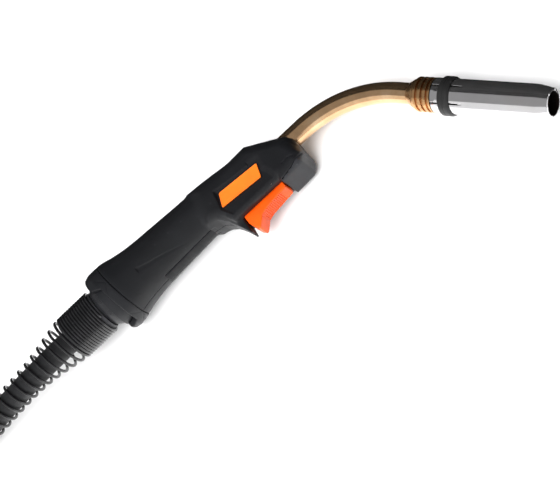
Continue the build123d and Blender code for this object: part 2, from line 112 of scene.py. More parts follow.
class TorchColours(bpy.types.PropertyGroup):
    """Colours of the torch's finishes."""

    handle: colour("Handle", "Moulded handle plastic", (0.0062, 0.0065, 0.0076))
    nose: colour("Nose", "Lower nose cover", (0.016, 0.0165, 0.019))
    trigger: colour("Trigger", "Trigger", (0.80, 0.082, 0.003))
    label: colour("Label", "Plates on the handle's sides", (0.76, 0.145, 0.010))
    cable: colour("Cable", "Rubber cable sheath", (0.0075, 0.0077, 0.0085))
    spring: colour("Spring", "Lacquered spring wire", (0.0045, 0.0045, 0.0052))
    nozzle: colour("Nozzle", "Plated nozzle", (0.78, 0.77, 0.78))
    neck: colour("Neck", "Lacquered copper neck", (0.80, 0.50, 0.27))
    fins: colour("Fins", "Brass nozzle seat", (0.72, 0.42, 0.20))


def sizes():
    return bpy.context.scene.torch_sizes


def colours():
    return bpy.context.scene.torch_colours


# ------------------------------------------------------------------ finishes
class Finish:
    """A material's node tree, with short ways to add its layers."""

    def __init__(self, name):
        self.material = bpy.data.materials.new(name)
        self.material.use_nodes = True
        self.tree = self.material.node_tree
        self.shader = self.tree.nodes["Principled BSDF"]
        self.place = self.add("ShaderNodeTexCoord")
        self.height = None

    def add(self, kind, **values):
        node = self.tree.nodes.new(kind)
        for key, value in values.items():
            setattr(node, key, value)
        return node

    def link(self, source, target):
        self.tree.links.new(source, target)

    def stretched(self, scale):
        """Object coordinates, squeezed or stretched along each axis."""
        mapping = self.add("ShaderNodeMapping")
        mapping.inputs["Scale"].default_value = scale
        self.link(self.place.outputs["Object"], mapping.inputs["Vector"])
        return mapping.outputs["Vector"]

    def noise(self, scale, detail=4.0, rough=0.55, vector=None):
        node = self.add("ShaderNodeTexNoise")
        node.inputs["Scale"].default_value = scale
        node.inputs["Detail"].default_value = detail
        node.inputs["Roughness"].default_value = rough
        self.link(vector or self.place.outputs["Object"], node.inputs["Vector"])
        return node.outputs["Fac"]

    def cells(self, scale, feature="F1"):
        node = self.add("ShaderNodeTexVoronoi", feature=feature)
        node.inputs["Scale"].default_value = scale
        self.link(self.place.outputs["Object"], node.inputs["Vector"])
        return node.outputs["Distance"]

    def waves(self, scale, direction="X", distortion=0.0, vector=None):
        node = self.add("ShaderNodeTexWave", bands_direction=direction)
        node.inputs["Scale"].default_value = scale
        node.inputs["Distortion"].default_value = distortion
        self.link(vector or self.place.outputs["Object"], node.inputs["Vector"])
        return node.outputs["Fac"]

    def tint(self, source, stops):
        """A colour that runs through the stops as the source runs from 0 to 1."""
        ramp = self.add("ShaderNodeValToRGB")
        ramp.color_ramp.elements[0].position, ramp.color_ramp.elements[1].position = stops[0][0], stops[-1][0]
        ramp.color_ramp.elements[0].color = (*stops[0][1], 1)
        ramp.color_ramp.elements[1].color = (*stops[-1][1], 1)
        for place, shade in stops[1:-1]:
            ramp.color_ramp.elements.new(place).color = (*shade, 1)
        self.link(source, ramp.inputs["Fac"])
        return ramp.outputs["Color"]

    def blended(self, share, below, above):
        mix = self.add("ShaderNodeMix", data_type="RGBA")
        self.link(share, mix.inputs["Factor"])
        self.link(below, mix.inputs[6])
        self.link(above, mix.inputs[7])
        return mix.outputs[2]

    def spread(self, source, low, high, start=0.3, end=0.7):
        node = self.add("ShaderNodeMapRange")
        for key, value in (("From Min", start), ("From Max", end), ("To Min", low), ("To Max", high)):
            node.inputs[key].default_value = value
        self.link(source, node.inputs["Value"])
        return node.outputs["Result"]

    def edges(self, low=0.52, high=0.62):
        """1 on the piece's outer edges, and 0 on its flats."""
        return self.spread(self.add("ShaderNodeNewGeometry").outputs["Pointiness"], 0.0, 1.0, low, high)

    def colour(self, socket):
        self.link(socket, self.shader.inputs["Base Color"])

    def rough(self, socket):
        self.link(socket, self.shader.inputs["Roughness"])

    def bump(self, source, depth, strength=1.0):
        node = self.add("ShaderNodeBump")
        node.inputs["Distance"].default_value = depth
        node.inputs["Strength"].default_value = strength
        self.link(source, node.inputs["Height"])
        if self.height:
            self.link(self.height, node.inputs["Normal"])
        self.height = node.outputs["Normal"]
        self.link(self.height, self.shader.inputs["Normal"])

    def set(self, **values):
        for key, value in values.items():
            self.shader.inputs[key.replace("_", " ")].default_value = value


def shade(base, factor):
    """A colour made lighter or darker."""
    return tuple(min(1.0, c * factor) for c in base)


def moulded(name, base, rough=(0.40, 0.52), grain=2600.0, depth=0.000022, lift=2.6, coat=0.0):
    """Injection-moulded plastic: spark-eroded grain, faint flow marks, and edges rubbed pale."""
    f = Finish(name)
    flow = f.noise(38.0, 5.0)
    body = f.tint(flow, ((0.3, shade(base, 0.82)), (0.7, shade(base, 1.22))))
    rubbed = f.tint(f.noise(420.0, 3.0), ((0.35, shade(base, lift * 0.7)), (0.75, shade(base, lift))))
    f.colour(f.blended(f.edges(0.53, 0.66), body, rubbed))
    f.rough(f.spread(f.noise(90.0, 6.0), rough[0], rough[1]))
    f.bump(f.cells(grain), depth, 0.5)
    f.bump(f.noise(grain * 0.45, 3.0), depth * 1.4, 0.5)
    if coat:
        f.set(Coat_Weight=coat, Coat_Roughness=0.25)
    f.set(Specular_IOR_Level=0.34)
    return f.material


def plated(name):
    """Polished plating with fine turning lines, handling smears and a faint warm bloom."""
    f = Finish(name)
    base = colours().nozzle
    bloom = f.noise(26.0, 3.0)
    f.colour(f.tint(bloom, ((0.3, shade(base, 0.93)), (0.5, tuple(base)), (0.72, (0.76, 0.73, 0.72)))))
    lines = f.noise(700.0, 2.0, 0.5, f.stretched((1.0, 0.02, 0.02)))
    smear = f.noise(120.0, 6.0)
    f.rough(f.spread(smear, 0.07, 0.17))
    f.bump(lines, 0.000004, 0.35)
    f.bump(f.noise(2400.0, 2.0), 0.0000015, 0.3)
    f.set(Metallic=1.0)
    return f.material


def drawn_copper(name):
    """Drawn and lacquered copper tube: lengthwise haze, small stains, clear coat."""
    f = Finish(name)
    base = colours().neck
    stain = f.noise(55.0, 6.0, 0.6)
    f.colour(f.tint(stain, ((0.28, shade(base, 0.80)), (0.5, tuple(base)), (0.75, (0.90, 0.64, 0.40)))))
    f.rough(f.spread(f.noise(150.0, 5.0), 0.10, 0.20))
    f.bump(f.noise(900.0, 2.0, 0.5, f.stretched((0.08, 1.0, 1.0))), 0.000004, 0.4)
    f.bump(f.noise(45.0, 2.0), 0.00004, 0.12)
    f.set(Metallic=1.0, Coat_Weight=0.35, Coat_Roughness=0.06)
    return f.material


def turned_metal(name, base, rough=(0.18, 0.32), tarnish=0.55, lines=1600.0):
    """Lathe-turned metal: fine rings, tarnish in the hollows, bright edges."""
    f = Finish(name)
    dull = f.noise(140.0, 6.0, 0.62)
    body = f.tint(dull, ((0.30, shade(base, tarnish)), (0.55, tuple(base)), (0.8, shade(base, 1.1))))
    bright = f.tint(f.noise(600.0), ((0.3, shade(base, 1.05)), (0.7, shade(base, 1.25))))
    f.colour(f.blended(f.edges(0.51, 0.58), body, bright))
    f.rough(f.spread(dull, rough[1], rough[0]))
    f.bump(f.noise(lines, 2.0, 0.5, f.stretched((1.0, 0.05, 0.05))), 0.000006, 0.5)
    f.set(Metallic=1.0)
    return f.material


def sheathed(name, base, rough=(0.46, 0.62)):
    """Rubber cable sheath: dusty bloom, pores and a faint extrusion ripple."""
    f = Finish(name)
    dust = f.noise(75.0, 8.0, 0.66)
    f.colour(f.tint(dust, ((0.35, shade(base, 0.75)), (0.6, tuple(base)), (0.85, shade(base, 2.2)))))
    f.rough(f.spread(f.noise(200.0, 5.0), rough[0], rough[1]))
    f.bump(f.noise(1900.0, 4.0), 0.00003, 0.6)
    f.bump(f.noise(160.0, 2.0), 0.00012, 0.25)
    f.set(Sheen_Weight=0.05, Sheen_Roughness=0.5)
    return f.material


def lacquered_wire(name, base):
    """Spring wire with a thin glossy lacquer, scuffed to grey where coils rub."""
    f = Finish(name)
    scuff = f.noise(380.0, 7.0, 0.7)
    f.colour(f.tint(scuff, ((0.45, tuple(base)), (0.7, shade(base, 1.8)), (0.9, shade(base, 5.0)))))
    f.rough(f.spread(scuff, 0.16, 0.34, 0.35, 0.8))
    f.bump(f.noise(1400.0, 3.0), 0.00001, 0.5)
    f.set(Metallic=0.0, Specular_IOR_Level=0.5, Coat_Weight=0.3, Coat_Roughness=0.15)
    return f.material


def webbing(name, base):
    """Woven hook-and-loop strap: crossing threads and a fuzzy nap."""
    f = Finish(name)
    over = f.waves(900.0, "DIAGONAL", 1.5)
    under = f.waves(900.0, "Z", 1.0)
    f.colour(f.tint(f.noise(600.0, 6.0), ((0.3, shade(base, 0.6)), (0.75, shade(base, 2.0)))))
    f.rough(f.spread(over, 0.72, 0.95, 0.0, 1.0))
    f.bump(over, 0.00016, 0.7)
    f.bump(under, 0.00014, 0.7)
    f.bump(f.noise(3200.0, 4.0), 0.00012, 0.6)
    f.set(Sheen_Weight=0.3, Sheen_Roughness=0.4)
    return f.material


def fired_ceramic(name):
    """Fired clay: mottled, dry and a little rough."""
    f = Finish(name)
    base = (0.62, 0.55, 0.46)
    glaze = f.noise(300.0, 8.0, 0.7)
    f.colour(f.tint(glaze, ((0.3, shade(base, 0.7)), (0.6, base), (0.8, (0.70, 0.66, 0.60)))))
    f.rough(f.spread(f.noise(500.0), 0.45, 0.7))
    f.bump(f.noise(2600.0, 5.0), 0.00003, 0.6)
    return f.material


def studio_floor(name):
    """A plain pale sheet with a faint tooth."""
    f = Finish(name)
    f.colour(f.tint(f.noise(3.0, 2.0), ((0.3, (0.90, 0.90, 0.905)), (0.7, (0.93, 0.93, 0.93)))))
    f.rough(f.spread(f.noise(30.0, 3.0), 0.85, 0.95))
    f.bump(f.noise(400.0, 3.0), 0.0001, 0.15)
    f.set(Specular_IOR_Level=0.1)
    return f.material


MADE = {}


def finish(name):
    """The finish of this name, made when it is first asked for."""
    if name in MADE:
        return MADE[name]
    c = colours()
    makers = {
        "handle_moulding": lambda: moulded("handle_moulding", c.handle),
        "nose_moulding": lambda: moulded("nose_moulding", c.nose, rough=(0.42, 0.55)),
        "collar_moulding": lambda: moulded("collar_moulding", shade(c.handle, 1.15), rough=(0.36, 0.48)),
        "soft_grip": lambda: moulded("soft_grip", shade(c.handle, 0.9), rough=(0.58, 0.72), grain=1500.0,
                                     depth=0.00005),
        "trigger_moulding": lambda: moulded("trigger_moulding", c.trigger, rough=(0.34, 0.46), lift=1.15),
        "label_moulding": lambda: moulded("label_moulding", c.label, rough=(0.30, 0.42),
                                          grain=3200.0, depth=0.00001, lift=1.1),
        "ball_moulding": lambda: moulded("ball_moulding", (0.010, 0.0102, 0.0115), rough=(0.24, 0.34),
                                         depth=0.00001),
        "connector_moulding": lambda: moulded("connector_moulding", (0.016, 0.016, 0.018), grain=1900.0,
                                              depth=0.00004),
        "switch_moulding": lambda: moulded("switch_moulding", (0.10, 0.015, 0.012), rough=(0.3, 0.45)),
        "insulation": lambda: moulded("insulation", (0.55, 0.50, 0.40), rough=(0.5, 0.7)),
        "wire_insulation": lambda: moulded("wire_insulation", (0.45, 0.02, 0.015), rough=(0.3, 0.45)),
        "black_ring": lambda: moulded("black_ring", (0.012, 0.012, 0.012), rough=(0.28, 0.40), grain=3000.0,
                                      depth=0.00001),
        "nozzle_plating": lambda: plated("nozzle_plating"),
        # Near-black metal: painted shade inside the nozzle's bore and slots.
        "bore_painted_shade": lambda: turned_metal("bore_painted_shade", (0.030, 0.026, 0.024), rough=(0.5, 0.7)),
        "neck_copper": lambda: drawn_copper("neck_copper"),
        "fin_brass": lambda: turned_metal("fin_brass", c.fins),
        "tip_copper": lambda: turned_metal("tip_copper", (0.80, 0.42, 0.26)),
        "holder_brass": lambda: turned_metal("holder_brass", (0.78, 0.58, 0.28)),
        "steel": lambda: turned_metal("steel", (0.55, 0.55, 0.56), tarnish=0.7),
        "cable_rubber": lambda: sheathed("cable_rubber", c.cable),
        "spring_lacquer": lambda: lacquered_wire("spring_lacquer", c.spring),
        "strap_webbing": lambda: webbing("strap_webbing", (0.014, 0.014, 0.016)),
        "ceramic": lambda: fired_ceramic("ceramic"),
        "floor": lambda: studio_floor("floor"),
    }
    MADE[name] = makers[name]()
    return MADE[name]


# ------------------------------------------------------------------ meshes
def piece(name, points, faces, place, coat, body, nodes=(), slot=None, weighted=True):
    """A mesh piece from points in millimetres in a frame, which rides on a body and stands for nodes."""
    spots = np.asarray(points, float) * MM
    turn = np.array(place)
    spots = spots @ turn[:3, :3].T + turn[:3, 3]
    mesh = bpy.data.meshes.new(name)
    mesh.from_pydata(spots.tolist(), [], [tuple(int(i) for i in f) for f in faces])
    mesh.validate()
    work = bmesh.new()
    work.from_mesh(mesh)
    bmesh.ops.recalc_face_normals(work, faces=work.faces)
    work.to_mesh(mesh)
    work.free()
    mesh.polygons.foreach_set("use_smooth", [True] * len(mesh.polygons))
    thing = bpy.data.objects.new(name, mesh)
    bpy.context.scene.collection.objects.link(thing)
    mesh.materials.append(finish(coat))
    if weighted:
        thing.modifiers.new("even_shading", "WEIGHTED_NORMAL").weight = 80
    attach(thing, body)
    if nodes:
        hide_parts(*nodes)
    return thing


def eased(points, radius, steps=3):
    """A closed outline with each corner rounded."""
    out = []
    count = len(points)
    for number in range(count):
        before, here, after = (Vector(points[(number + k) % count]) for k in (-1, 0, 1))
        back, on = before - here, after - here
        reach = min(radius, 0.45 * back.length, 0.45 * on.length)
        start, end = here + back.normalized() * reach, here + on.normalized() * reach
        for step in range(steps + 1):
            t = step / steps
            out.append(tuple(start * (1 - t) ** 2 + here * 2 * t * (1 - t) + end * t * t))
    return out


def lathe(profile, sides=128):
    """Points and faces of a closed (along, radius) outline turned about X."""
    rings = len(profile)
    angle = np.arange(sides) * 2 * math.pi / sides
    outline = np.array(profile)
    x = np.repeat(outline[:, 0], sides)
    r = np.repeat(np.maximum(outline[:, 1], 0.02), sides)
    a = np.tile(angle, rings)
    points = np.column_stack((x, r * np.cos(a), r * np.sin(a)))
    faces = []
    for ring in range(rings):
        here, there = ring * sides, ((ring + 1) % rings) * sides
        for side in range(sides):
            after = (side + 1) % sides
            faces.append((here + side, there + side, there + after, here + after))
    return points, faces


def sweep(route, radius, sides=12, closed=False):
    """Points and faces of a round bar that follows a route."""
    line = np.asarray(route, float)
    if closed:
        ahead, behind = np.roll(line, -1, 0), np.roll(line, 1, 0)
    else:
        ahead, behind = np.vstack((line[1:], line[-1:])), np.vstack((line[:1], line[:-1]))
    tangent = ahead - behind
    tangent /= np.linalg.norm(tangent, axis=1)[:, None]
    normal = np.cross(tangent[0], (0.0, 0.0, 1.0) if abs(tangent[0][2]) < 0.9 else (0.0, 1.0, 0.0))
    points, faces = [], []
    radii = np.broadcast_to(radius, len(line))
    for number, (spot, direction) in enumerate(zip(line, tangent)):
        normal = normal - direction * normal.dot(direction)
        normal = normal / np.linalg.norm(normal)
        other = np.cross(direction, normal)
        for side in range(sides):
            angle = 2 * math.pi * side / sides
            points.append(spot + radii[number] * (math.cos(angle) * normal + math.sin(angle) * other))
    count = len(line)
    for number in range(count if closed else count - 1):
        here, there = number * sides, ((number + 1) % count) * sides
        for side in range(sides):
            after = (side + 1) % sides
            faces.append((here + side, here + after, there + after, there + side))
    if not closed:
        faces.append(tuple(range(sides))[::-1])
        faces.append(tuple((count - 1) * sides + side for side in range(sides)))
    return points, faces


def joined(*parts):
    """Several (points, faces) pairs as one."""
    points, faces = [], []
    for spots, sides in parts:
        base = len(points)
        points.extend(tuple(p) for p in spots)
        faces.extend(tuple(i + base for i in f) for f in sides)
    return points, faces


# ------------------------------------------------------------------ moulded skins
def outline_field(x, y, points):
    """How far (x, y) is from a closed outline, below 0 inside it."""
    near = np.full(np.broadcast(x, y).shape, 1e9)
    inside = np.zeros(near.shape, bool)
    for (ax, ay), (bx, by) in zip(points, points[1:] + points[:1]):
        ex, ey = bx - ax, by - ay
        t = np.clip(((x - ax) * ex + (y - ay) * ey) / (ex * ex + ey * ey), 0, 1)
        near = np.minimum(near, (x - ax - ex * t) ** 2 + (y - ay - ey * t) ** 2)
        if ay != by:
            inside ^= ((ay > y) != (by > y)) & (x < ex * (y - ay) / ey + ax)
    return np.where(inside, -1.0, 1.0) * np.sqrt(near)


def line_field(x, y, points):
    """How far (x, y) is from an open line."""
    near = np.full(np.broadcast(x, y).shape, 1e9)
    for (ax, ay), (bx, by) in zip(points, points[1:]):
        ex, ey = bx - ax, by - ay
        t = np.clip(((x - ax) * ex + (y - ay) * ey) / (ex * ex + ey * ey), 0, 1)
        near = np.minimum(near, (x - ax - ex * t) ** 2 + (y - ay - ey * t) ** 2)
    return np.sqrt(near)


def both(a, b, radius=0.0):
    """What two solids share, with a rounded edge."""
    if np.all(np.asarray(radius) == 0):
        return np.maximum(a, b)
    return np.minimum(-radius, np.maximum(a, b)) + np.hypot(
        np.maximum(a + radius, 0), np.maximum(b + radius, 0))


def either(a, b, radius=0.0):
    """Two solids as one, with a filleted corner."""
    return -both(-a, -b, radius)


def without(a, b, radius=0.0):
    return both(a, -b, radius)


def block_field(x, y, z, low, high, radius=0.0):
    spans = [np.abs(v - (l + h) / 2) - (h - l) / 2 for v, l, h in zip((x, y, z), low, high)]
    return both(both(spans[0], spans[1], radius), spans[2], radius)


def skin(field, low, high, step):
    """Points and faces on the surface where a field is 0, drawn on to it."""
    lines = [np.arange(a - step, b + 2 * step, step) for a, b in zip(low, high)]
    grid = (lines[0][:, None, None], lines[1][None, :, None], lines[2][None, None, :])
    value = np.broadcast_to(field(*grid), tuple(len(v) for v in lines)).astype(np.float32)
    inside = value < 0
    cells = tuple(n - 1 for n in value.shape)
    corners = [(i, j, k) for i in (0, 1) for j in (0, 1) for k in (0, 1)]

    def view(array, corner):
        return array[tuple(slice(c, c + n) for c, n in zip(corner, cells))]

    count = sum(view(inside, c).astype(np.int8) for c in corners)
    mixed = (count > 0) & (count < 8)
    where = np.argwhere(mixed)
    index = np.full(cells, -1, np.int64)
    index[mixed] = np.arange(len(where))
    total, hits = np.zeros((len(where), 3)), np.zeros(len(where))
    for first in corners:
        for axis in range(3):
            if first[axis]:
                continue
            second = tuple(1 if n == axis else c for n, c in enumerate(first))
            a, b = view(value, first)[mixed], view(value, second)[mixed]
            cross = (a < 0) != (b < 0)
            share = np.where(cross, a / np.where(cross, a - b, 1), 0)
            spot = np.array(first, float)[None, :].repeat(len(where), 0)
            spot[:, axis] += share
            total += spot * cross[:, None]
            hits += cross
    points = (where + total / hits[:, None]) * step + np.array([v[0] for v in lines])
    faces = []
    for axis in range(3):
        u, v = (axis + 1) % 3, (axis + 2) % 3
        here = [slice(None)] * 3
        there = [slice(None)] * 3
        here[axis], there[axis] = slice(0, -1), slice(1, None)
        for other in (u, v):
            here[other] = there[other] = slice(1, -1)
        a, b = inside[tuple(here)], inside[tuple(there)]
        spots = np.argwhere(a != b)
        spots[:, u] += 1
        spots[:, v] += 1
        out = a[a != b]
        ring = []
        for du, dv in ((-1, -1), (0, -1), (0, 0), (-1, 0)):
            cell = spots.copy()
            cell[:, u] += du
            cell[:, v] += dv
            ring.append(index[tuple(cell.T)])
        quads = np.column_stack(ring)
        quads[~out] = quads[~out][:, ::-1]
        faces.append(quads)
    faces = np.vstack(faces)
    faces = faces[(faces >= 0).all(1)]
    for _ in range(4):
        points = drawn_on(field, points, step)
    return points, faces


def drawn_on(field, points, step, probe=0.05):
    """Moves points on to the surface where the field is 0."""
    x, y, z = points.T
    here = np.broadcast_to(field(x, y, z), x.shape)
    slope = np.column_stack([
        field(x + probe, y, z) - field(x - probe, y, z),
        field(x, y + probe, z) - field(x, y - probe, z),
        field(x, y, z + probe) - field(x, y, z - probe),
    ]) / (2 * probe)
    size = np.maximum((slope**2).sum(1), 0.2)
    move = slope * (here / size)[:, None]
    span = np.maximum(np.linalg.norm(move, axis=1), 1e-9)
    return points - move * np.minimum(1, 0.4 * step / span)[:, None]


# ------------------------------------------------------------------ cable
BEND = math.radians(50.5)
SHIFT = (-0.121237, -0.059409, 0.000052)
COIL_ENTRY = 0.236
MEAN_TURN, TURN_STEP, LAYER_STEP = 0.096, 0.017, 0.0163
LAYER_TURNS = 795.0 / 360.0
FLOOR_LEVEL = 0.0096
PLUG_RISE = 0.0275


def behind(distance, height):
    """A point behind the collar, below the line of the grip, at a height in metres."""
    return (SHIFT[0] - distance * math.cos(BEND), SHIFT[1] - distance * math.sin(BEND), height + SHIFT[2])


def coil_middle():
    x, y, _ = behind(COIL_ENTRY, 0)
    outer = MEAN_TURN + TURN_STEP * LAYER_TURNS / 2
    return x - outer * math.sin(BEND), y + outer * math.cos(BEND), outer


def cable_route():
    """The cable's control points, from the ferrule through the coil to the connector."""
    rise = math.sin(BEND) * math.sin(math.asin(HANDLE.col[0].z / -math.sin(BEND)))
    route = [
        behind(0.021, 0.0235 + 0.021 * rise),
        behind(0.067, 0.0235 + 0.067 * rise),
        behind(0.114, 0.0248),
        behind(0.158, 0.0180),
        behind(0.198, 0.0120),
    ]
    x, y, outer = coil_middle()
    per_turn = 20
    steps = round(2 * LAYER_TURNS * per_turn)
    inner = outer - TURN_STEP * LAYER_TURNS
    start = BEND - math.pi / 2
    for step in range(steps + 1):
        turns = 2 * LAYER_TURNS * step / steps
        angle = start - 2 * math.pi * turns
        if turns < LAYER_TURNS:
            radius = outer - TURN_STEP * turns
        else:
            radius = inner + (outer - inner) * max(0.0, (turns - LAYER_TURNS - 0.27) / (LAYER_TURNS - 0.27))
        climb = min(1.0, max(0.0, (turns - LAYER_TURNS + 0.08) / 0.35))
        height = FLOOR_LEVEL + LAYER_STEP * climb * climb * (3 - 2 * climb)
        route.append((x + radius * 1.008 * math.cos(angle), y + radius * 1.008 * math.sin(angle),
                      height + SHIFT[2]))
    end = start - 4 * math.pi * LAYER_TURNS
    out, on = (math.cos(end), math.sin(end)), (math.sin(end), -math.cos(end))
    for ahead, aside, height in ((0.034, 0.0015, 0.0263), (0.072, 0.0045, PLUG_RISE),
                                 (0.110, 0.0055, PLUG_RISE)):
        route.append((x + out[0] * (outer + aside) + on[0] * ahead,
                      y + out[1] * (outer + aside) + on[1] * ahead, height + SHIFT[2]))
    return route


def cable_curve(name, route):
    data = bpy.data.curves.new(name, "CURVE")
    data.dimensions = "3D"
    data.resolution_u = 8
    spline = data.splines.new("NURBS")
    spline.points.add(len(route) - 1)
    for point, spot in zip(spline.points, route):
        point.co = (*spot, 1.0)
    spline.order_u = 3
    spline.use_endpoint_u = True
    thing = bpy.data.objects.new(name, data)
    bpy.context.scene.collection.objects.link(thing)
    return thing


class Line:
    """A polyline that can be walked by distance, in metres."""

    def __init__(self, spots):
        self.spots = np.asarray(spots, float)
        runs = np.linalg.norm(np.diff(self.spots, axis=0), axis=1)
        self.along = np.concatenate(([0.0], np.cumsum(runs)))
        self.length = float(self.along[-1])

    def at(self, distance):
        if distance < 0:
            step = self.spots[1] - self.spots[0]
            return self.spots[0] + step / np.linalg.norm(step) * distance
        if distance > self.length:
            step = self.spots[-1] - self.spots[-2]
            return self.spots[-1] + step / np.linalg.norm(step) * (distance - self.length)
        return np.array([np.interp(distance, self.along, self.spots[:, k]) for k in range(3)])

    def heading(self, distance):
        step = self.at(distance + 0.003) - self.at(distance - 0.003)
        return step / np.linalg.norm(step)


def centreline(curve):
    """The line of a curve with no bevel, as Blender draws it."""
    mesh = bpy.data.meshes.new_from_object(curve)
    line = Line([v.co for v in mesh.vertices])
    bpy.data.meshes.remove(mesh)
    return line


def helix(line, distances, turns, radius, up, per_turn=28):
    """A helix round a line, which has made so many turns at each distance along it."""
    spots = []
    for turn in np.arange(turns[0], turns[-1], 1 / per_turn):
        distance = float(np.interp(turn, turns, distances))
        middle, ahead = line.at(distance), line.heading(distance)
        side = np.cross(ahead, up)
        side /= np.linalg.norm(side)
        top = np.cross(side, ahead)
        angle = 2 * math.pi * turn
        spots.append(middle + radius(distance) * (math.cos(angle) * top + math.sin(angle) * side))
    return spots


CLOSE_WOUND, CLOSE_PITCH, OPEN_TURNS, CREST = (20.5, 46.5), 2.05, 17, -0.0925
SPRING = ((18.0, 15.65), (46.5, 15.65), (49.3, 15.6), (56.0, 14.4), (62.5, 13.3), (69.0, 12.1), (75.8, 11.2),
          (82.5, 10.3), (96.8, 9.75), (166.0, 9.2))


def open_turn(number):
    """How far behind the first open turn's crest this one is, in millimetres."""
    return 6.6 * number + 0.038 * number * number


def spring_radius(distance):
    """The radius of the spring's middle line, this far behind the collar, in metres."""
    return float(np.interp(distance / MM, *zip(*SPRING))) * MM


class TORCH_OT_cable(bpy.types.Operator):
    """Lay the cable from the ferrule into its coil and out to the connector"""

    bl_idname = "torch.cable"
    bl_label = "Cable, springs and straps"

    def execute(self, context):
        route = cable_route()
        cable = cable_curve("hose_cable", route)
        line = centreline(cable)
        width = sizes().cable_width
        cable.data.bevel_depth = width / 2
        cable.data.bevel_resolution = 7
        cable.data.use_fill_caps = True
        cable.data.materials.append(finish("cable_rubber"))
        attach(cable, "cable")
        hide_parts("cable_lead", "cable_coil", "cable_tail")
        still = Matrix.Identity(4)
        up = np.array(HANDLE.col[1][:3])
        wire = sizes().spring_wire / 2
        begin = 0.021

        crests = CLOSE_WOUND[1] + 2.8
        places = [CLOSE_WOUND[0], CLOSE_WOUND[1]] + [crests + open_turn(n) for n in range(OPEN_TURNS)]
        close_turns = (CLOSE_WOUND[1] - CLOSE_WOUND[0]) / CLOSE_PITCH
        turns = [CREST - 0.6 - close_turns, CREST - 0.6] + [CREST + n for n in range(OPEN_TURNS)]
        coils = helix(line, [d * MM - begin for d in places], turns, lambda d: spring_radius(d + begin), up)
        spring = piece("anti_kink_spring_wire", *self.wire(coils, wire), still, "spring_lacquer", "cable",
                       ("anti_kink_spring", "spring_tail"), "spring_black", weighted=False)
        back = line.length
        flare = ([back - 0.034, back - 0.006, back], [0.0092, 0.0111, 0.0111])
        rear = helix(line, [back - 0.033, back + 0.001], [0.0, 13.0],
                     lambda d: float(np.interp(d, *flare)), np.array((0.0, 0.0, 1.0)))
        rear_spring = piece("connector_spring_wire", *self.wire(rear, 0.0009), still, "spring_lacquer",
                            "cable", ("plug_spring",), "spring_black", weighted=False)
        straps = [self.strap(number, place) for number, place in enumerate((0.0, 120.0, 240.0))]
        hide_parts("coil_straps")
        carried = ("plug_block", "plug_face", "plug_pin_1", "plug_pin_2", "plug_nut", "plug_nut_retainer",
                   "spring_ferrule")
        nodes = [frame["nodes"][name] for name in carried]
        cord = {"piece": cable, "line": line, "pieces": [spring, rear_spring, *straps, *nodes]}
        STATE["cord"] = cord
        STATE["route"] = route
        return {"FINISHED"}

    def wire(self, spots, radius):
        points, faces = sweep(spots, radius, 10)
        return np.array(points) / MM, faces

    def strap(self, number, place):
        """A webbing band round the coil, with its loose end laid over itself."""
        x, y, _ = coil_middle()
        width = sizes().strap_width / MM / 2
        half, low, high = 28.4, 0.1, 36.2
        turn = Matrix.Translation((x, y, SHIFT[2])) @ Matrix.Rotation(math.radians(place), 4, "Z") \
            @ Matrix.Translation((MEAN_TURN, 0, 0))
        parts = [self.band(half, low, high, 1.5, width, 0.0), self.tail(half, high, width)]
        return piece(f"coil_strap_{number + 1}", *joined(*parts), turn, "strap_webbing", "cable",
                     slot="strap_black")

    def band(self, half, low, high, thick, width, lift):
        ring = []
        for cx, cz, first in ((half - 6, high - 6, 0), (-half + 6, high - 6, 1), (-half + 6, low + 6, 2),
                              (half - 6, low + 6, 3)):
            for step in range(9):
                a = (first + step / 8) * math.pi / 2
                ring.append((cx, cz, math.cos(a), math.sin(a)))
        section = eased([(-width, 0), (width, 0), (width, -thick), (-width, -thick)], 0.5, 2)
        points, faces = [], []
        for cx, cz, dx, dz in ring:
            for w, t in section:
                points.append((cx + dx * (6 + t), w, cz + dz * (6 + t)))
        count, turns = len(section), len(ring)
        for i in range(turns):
            for j in range(count):
                a, b = i * count + j, i * count + (j + 1) % count
                c, d = ((i + 1) % turns) * count + (j + 1) % count, ((i + 1) % turns) * count + j
                faces.append((a, b, c, d))
        return points, faces

    def tail(self, half, high, width):
        """The strap's free end, lying on top, with a rounded tip."""
        outline = [(-half + 8, -width), (half - 16, -width), (half - 9, -width * 0.55), (half - 7, 0),
                   (half - 9, width * 0.55), (half - 16, width), (-half + 8, width)]
        outline = eased(outline, 2.0, 2)
        points = [(px, py, high + z) for z in (0.05, 1.2) for px, py in outline]
        count = len(outline)
        faces = [tuple(range(count))[::-1], tuple(range(count, 2 * count))]
        faces += [(i, (i + 1) % count, count + (i + 1) % count, count + i) for i in range(count)]
        return points, faces


# ------------------------------------------------------------------ nozzle end
MOUTH_BORE, SLOT_END, BARREL = 8.1, 63.5, 84.0


def paint_bore_shade(thing, widest, first, last):
    """Darkens, as painted shade, the faces of a nozzle piece that lie within a radius, between two places
    along it.
    """
    if len(thing.data.materials) == 1:
        thing.data.materials.append(finish("bore_painted_shade"))
    inward = NOZZLE.inverted()
    for face in thing.data.polygons:
        spot = (inward @ face.center) / MM
        if first < spot.x < last and math.hypot(spot.y, spot.z) < widest:
            face.material_index = 1


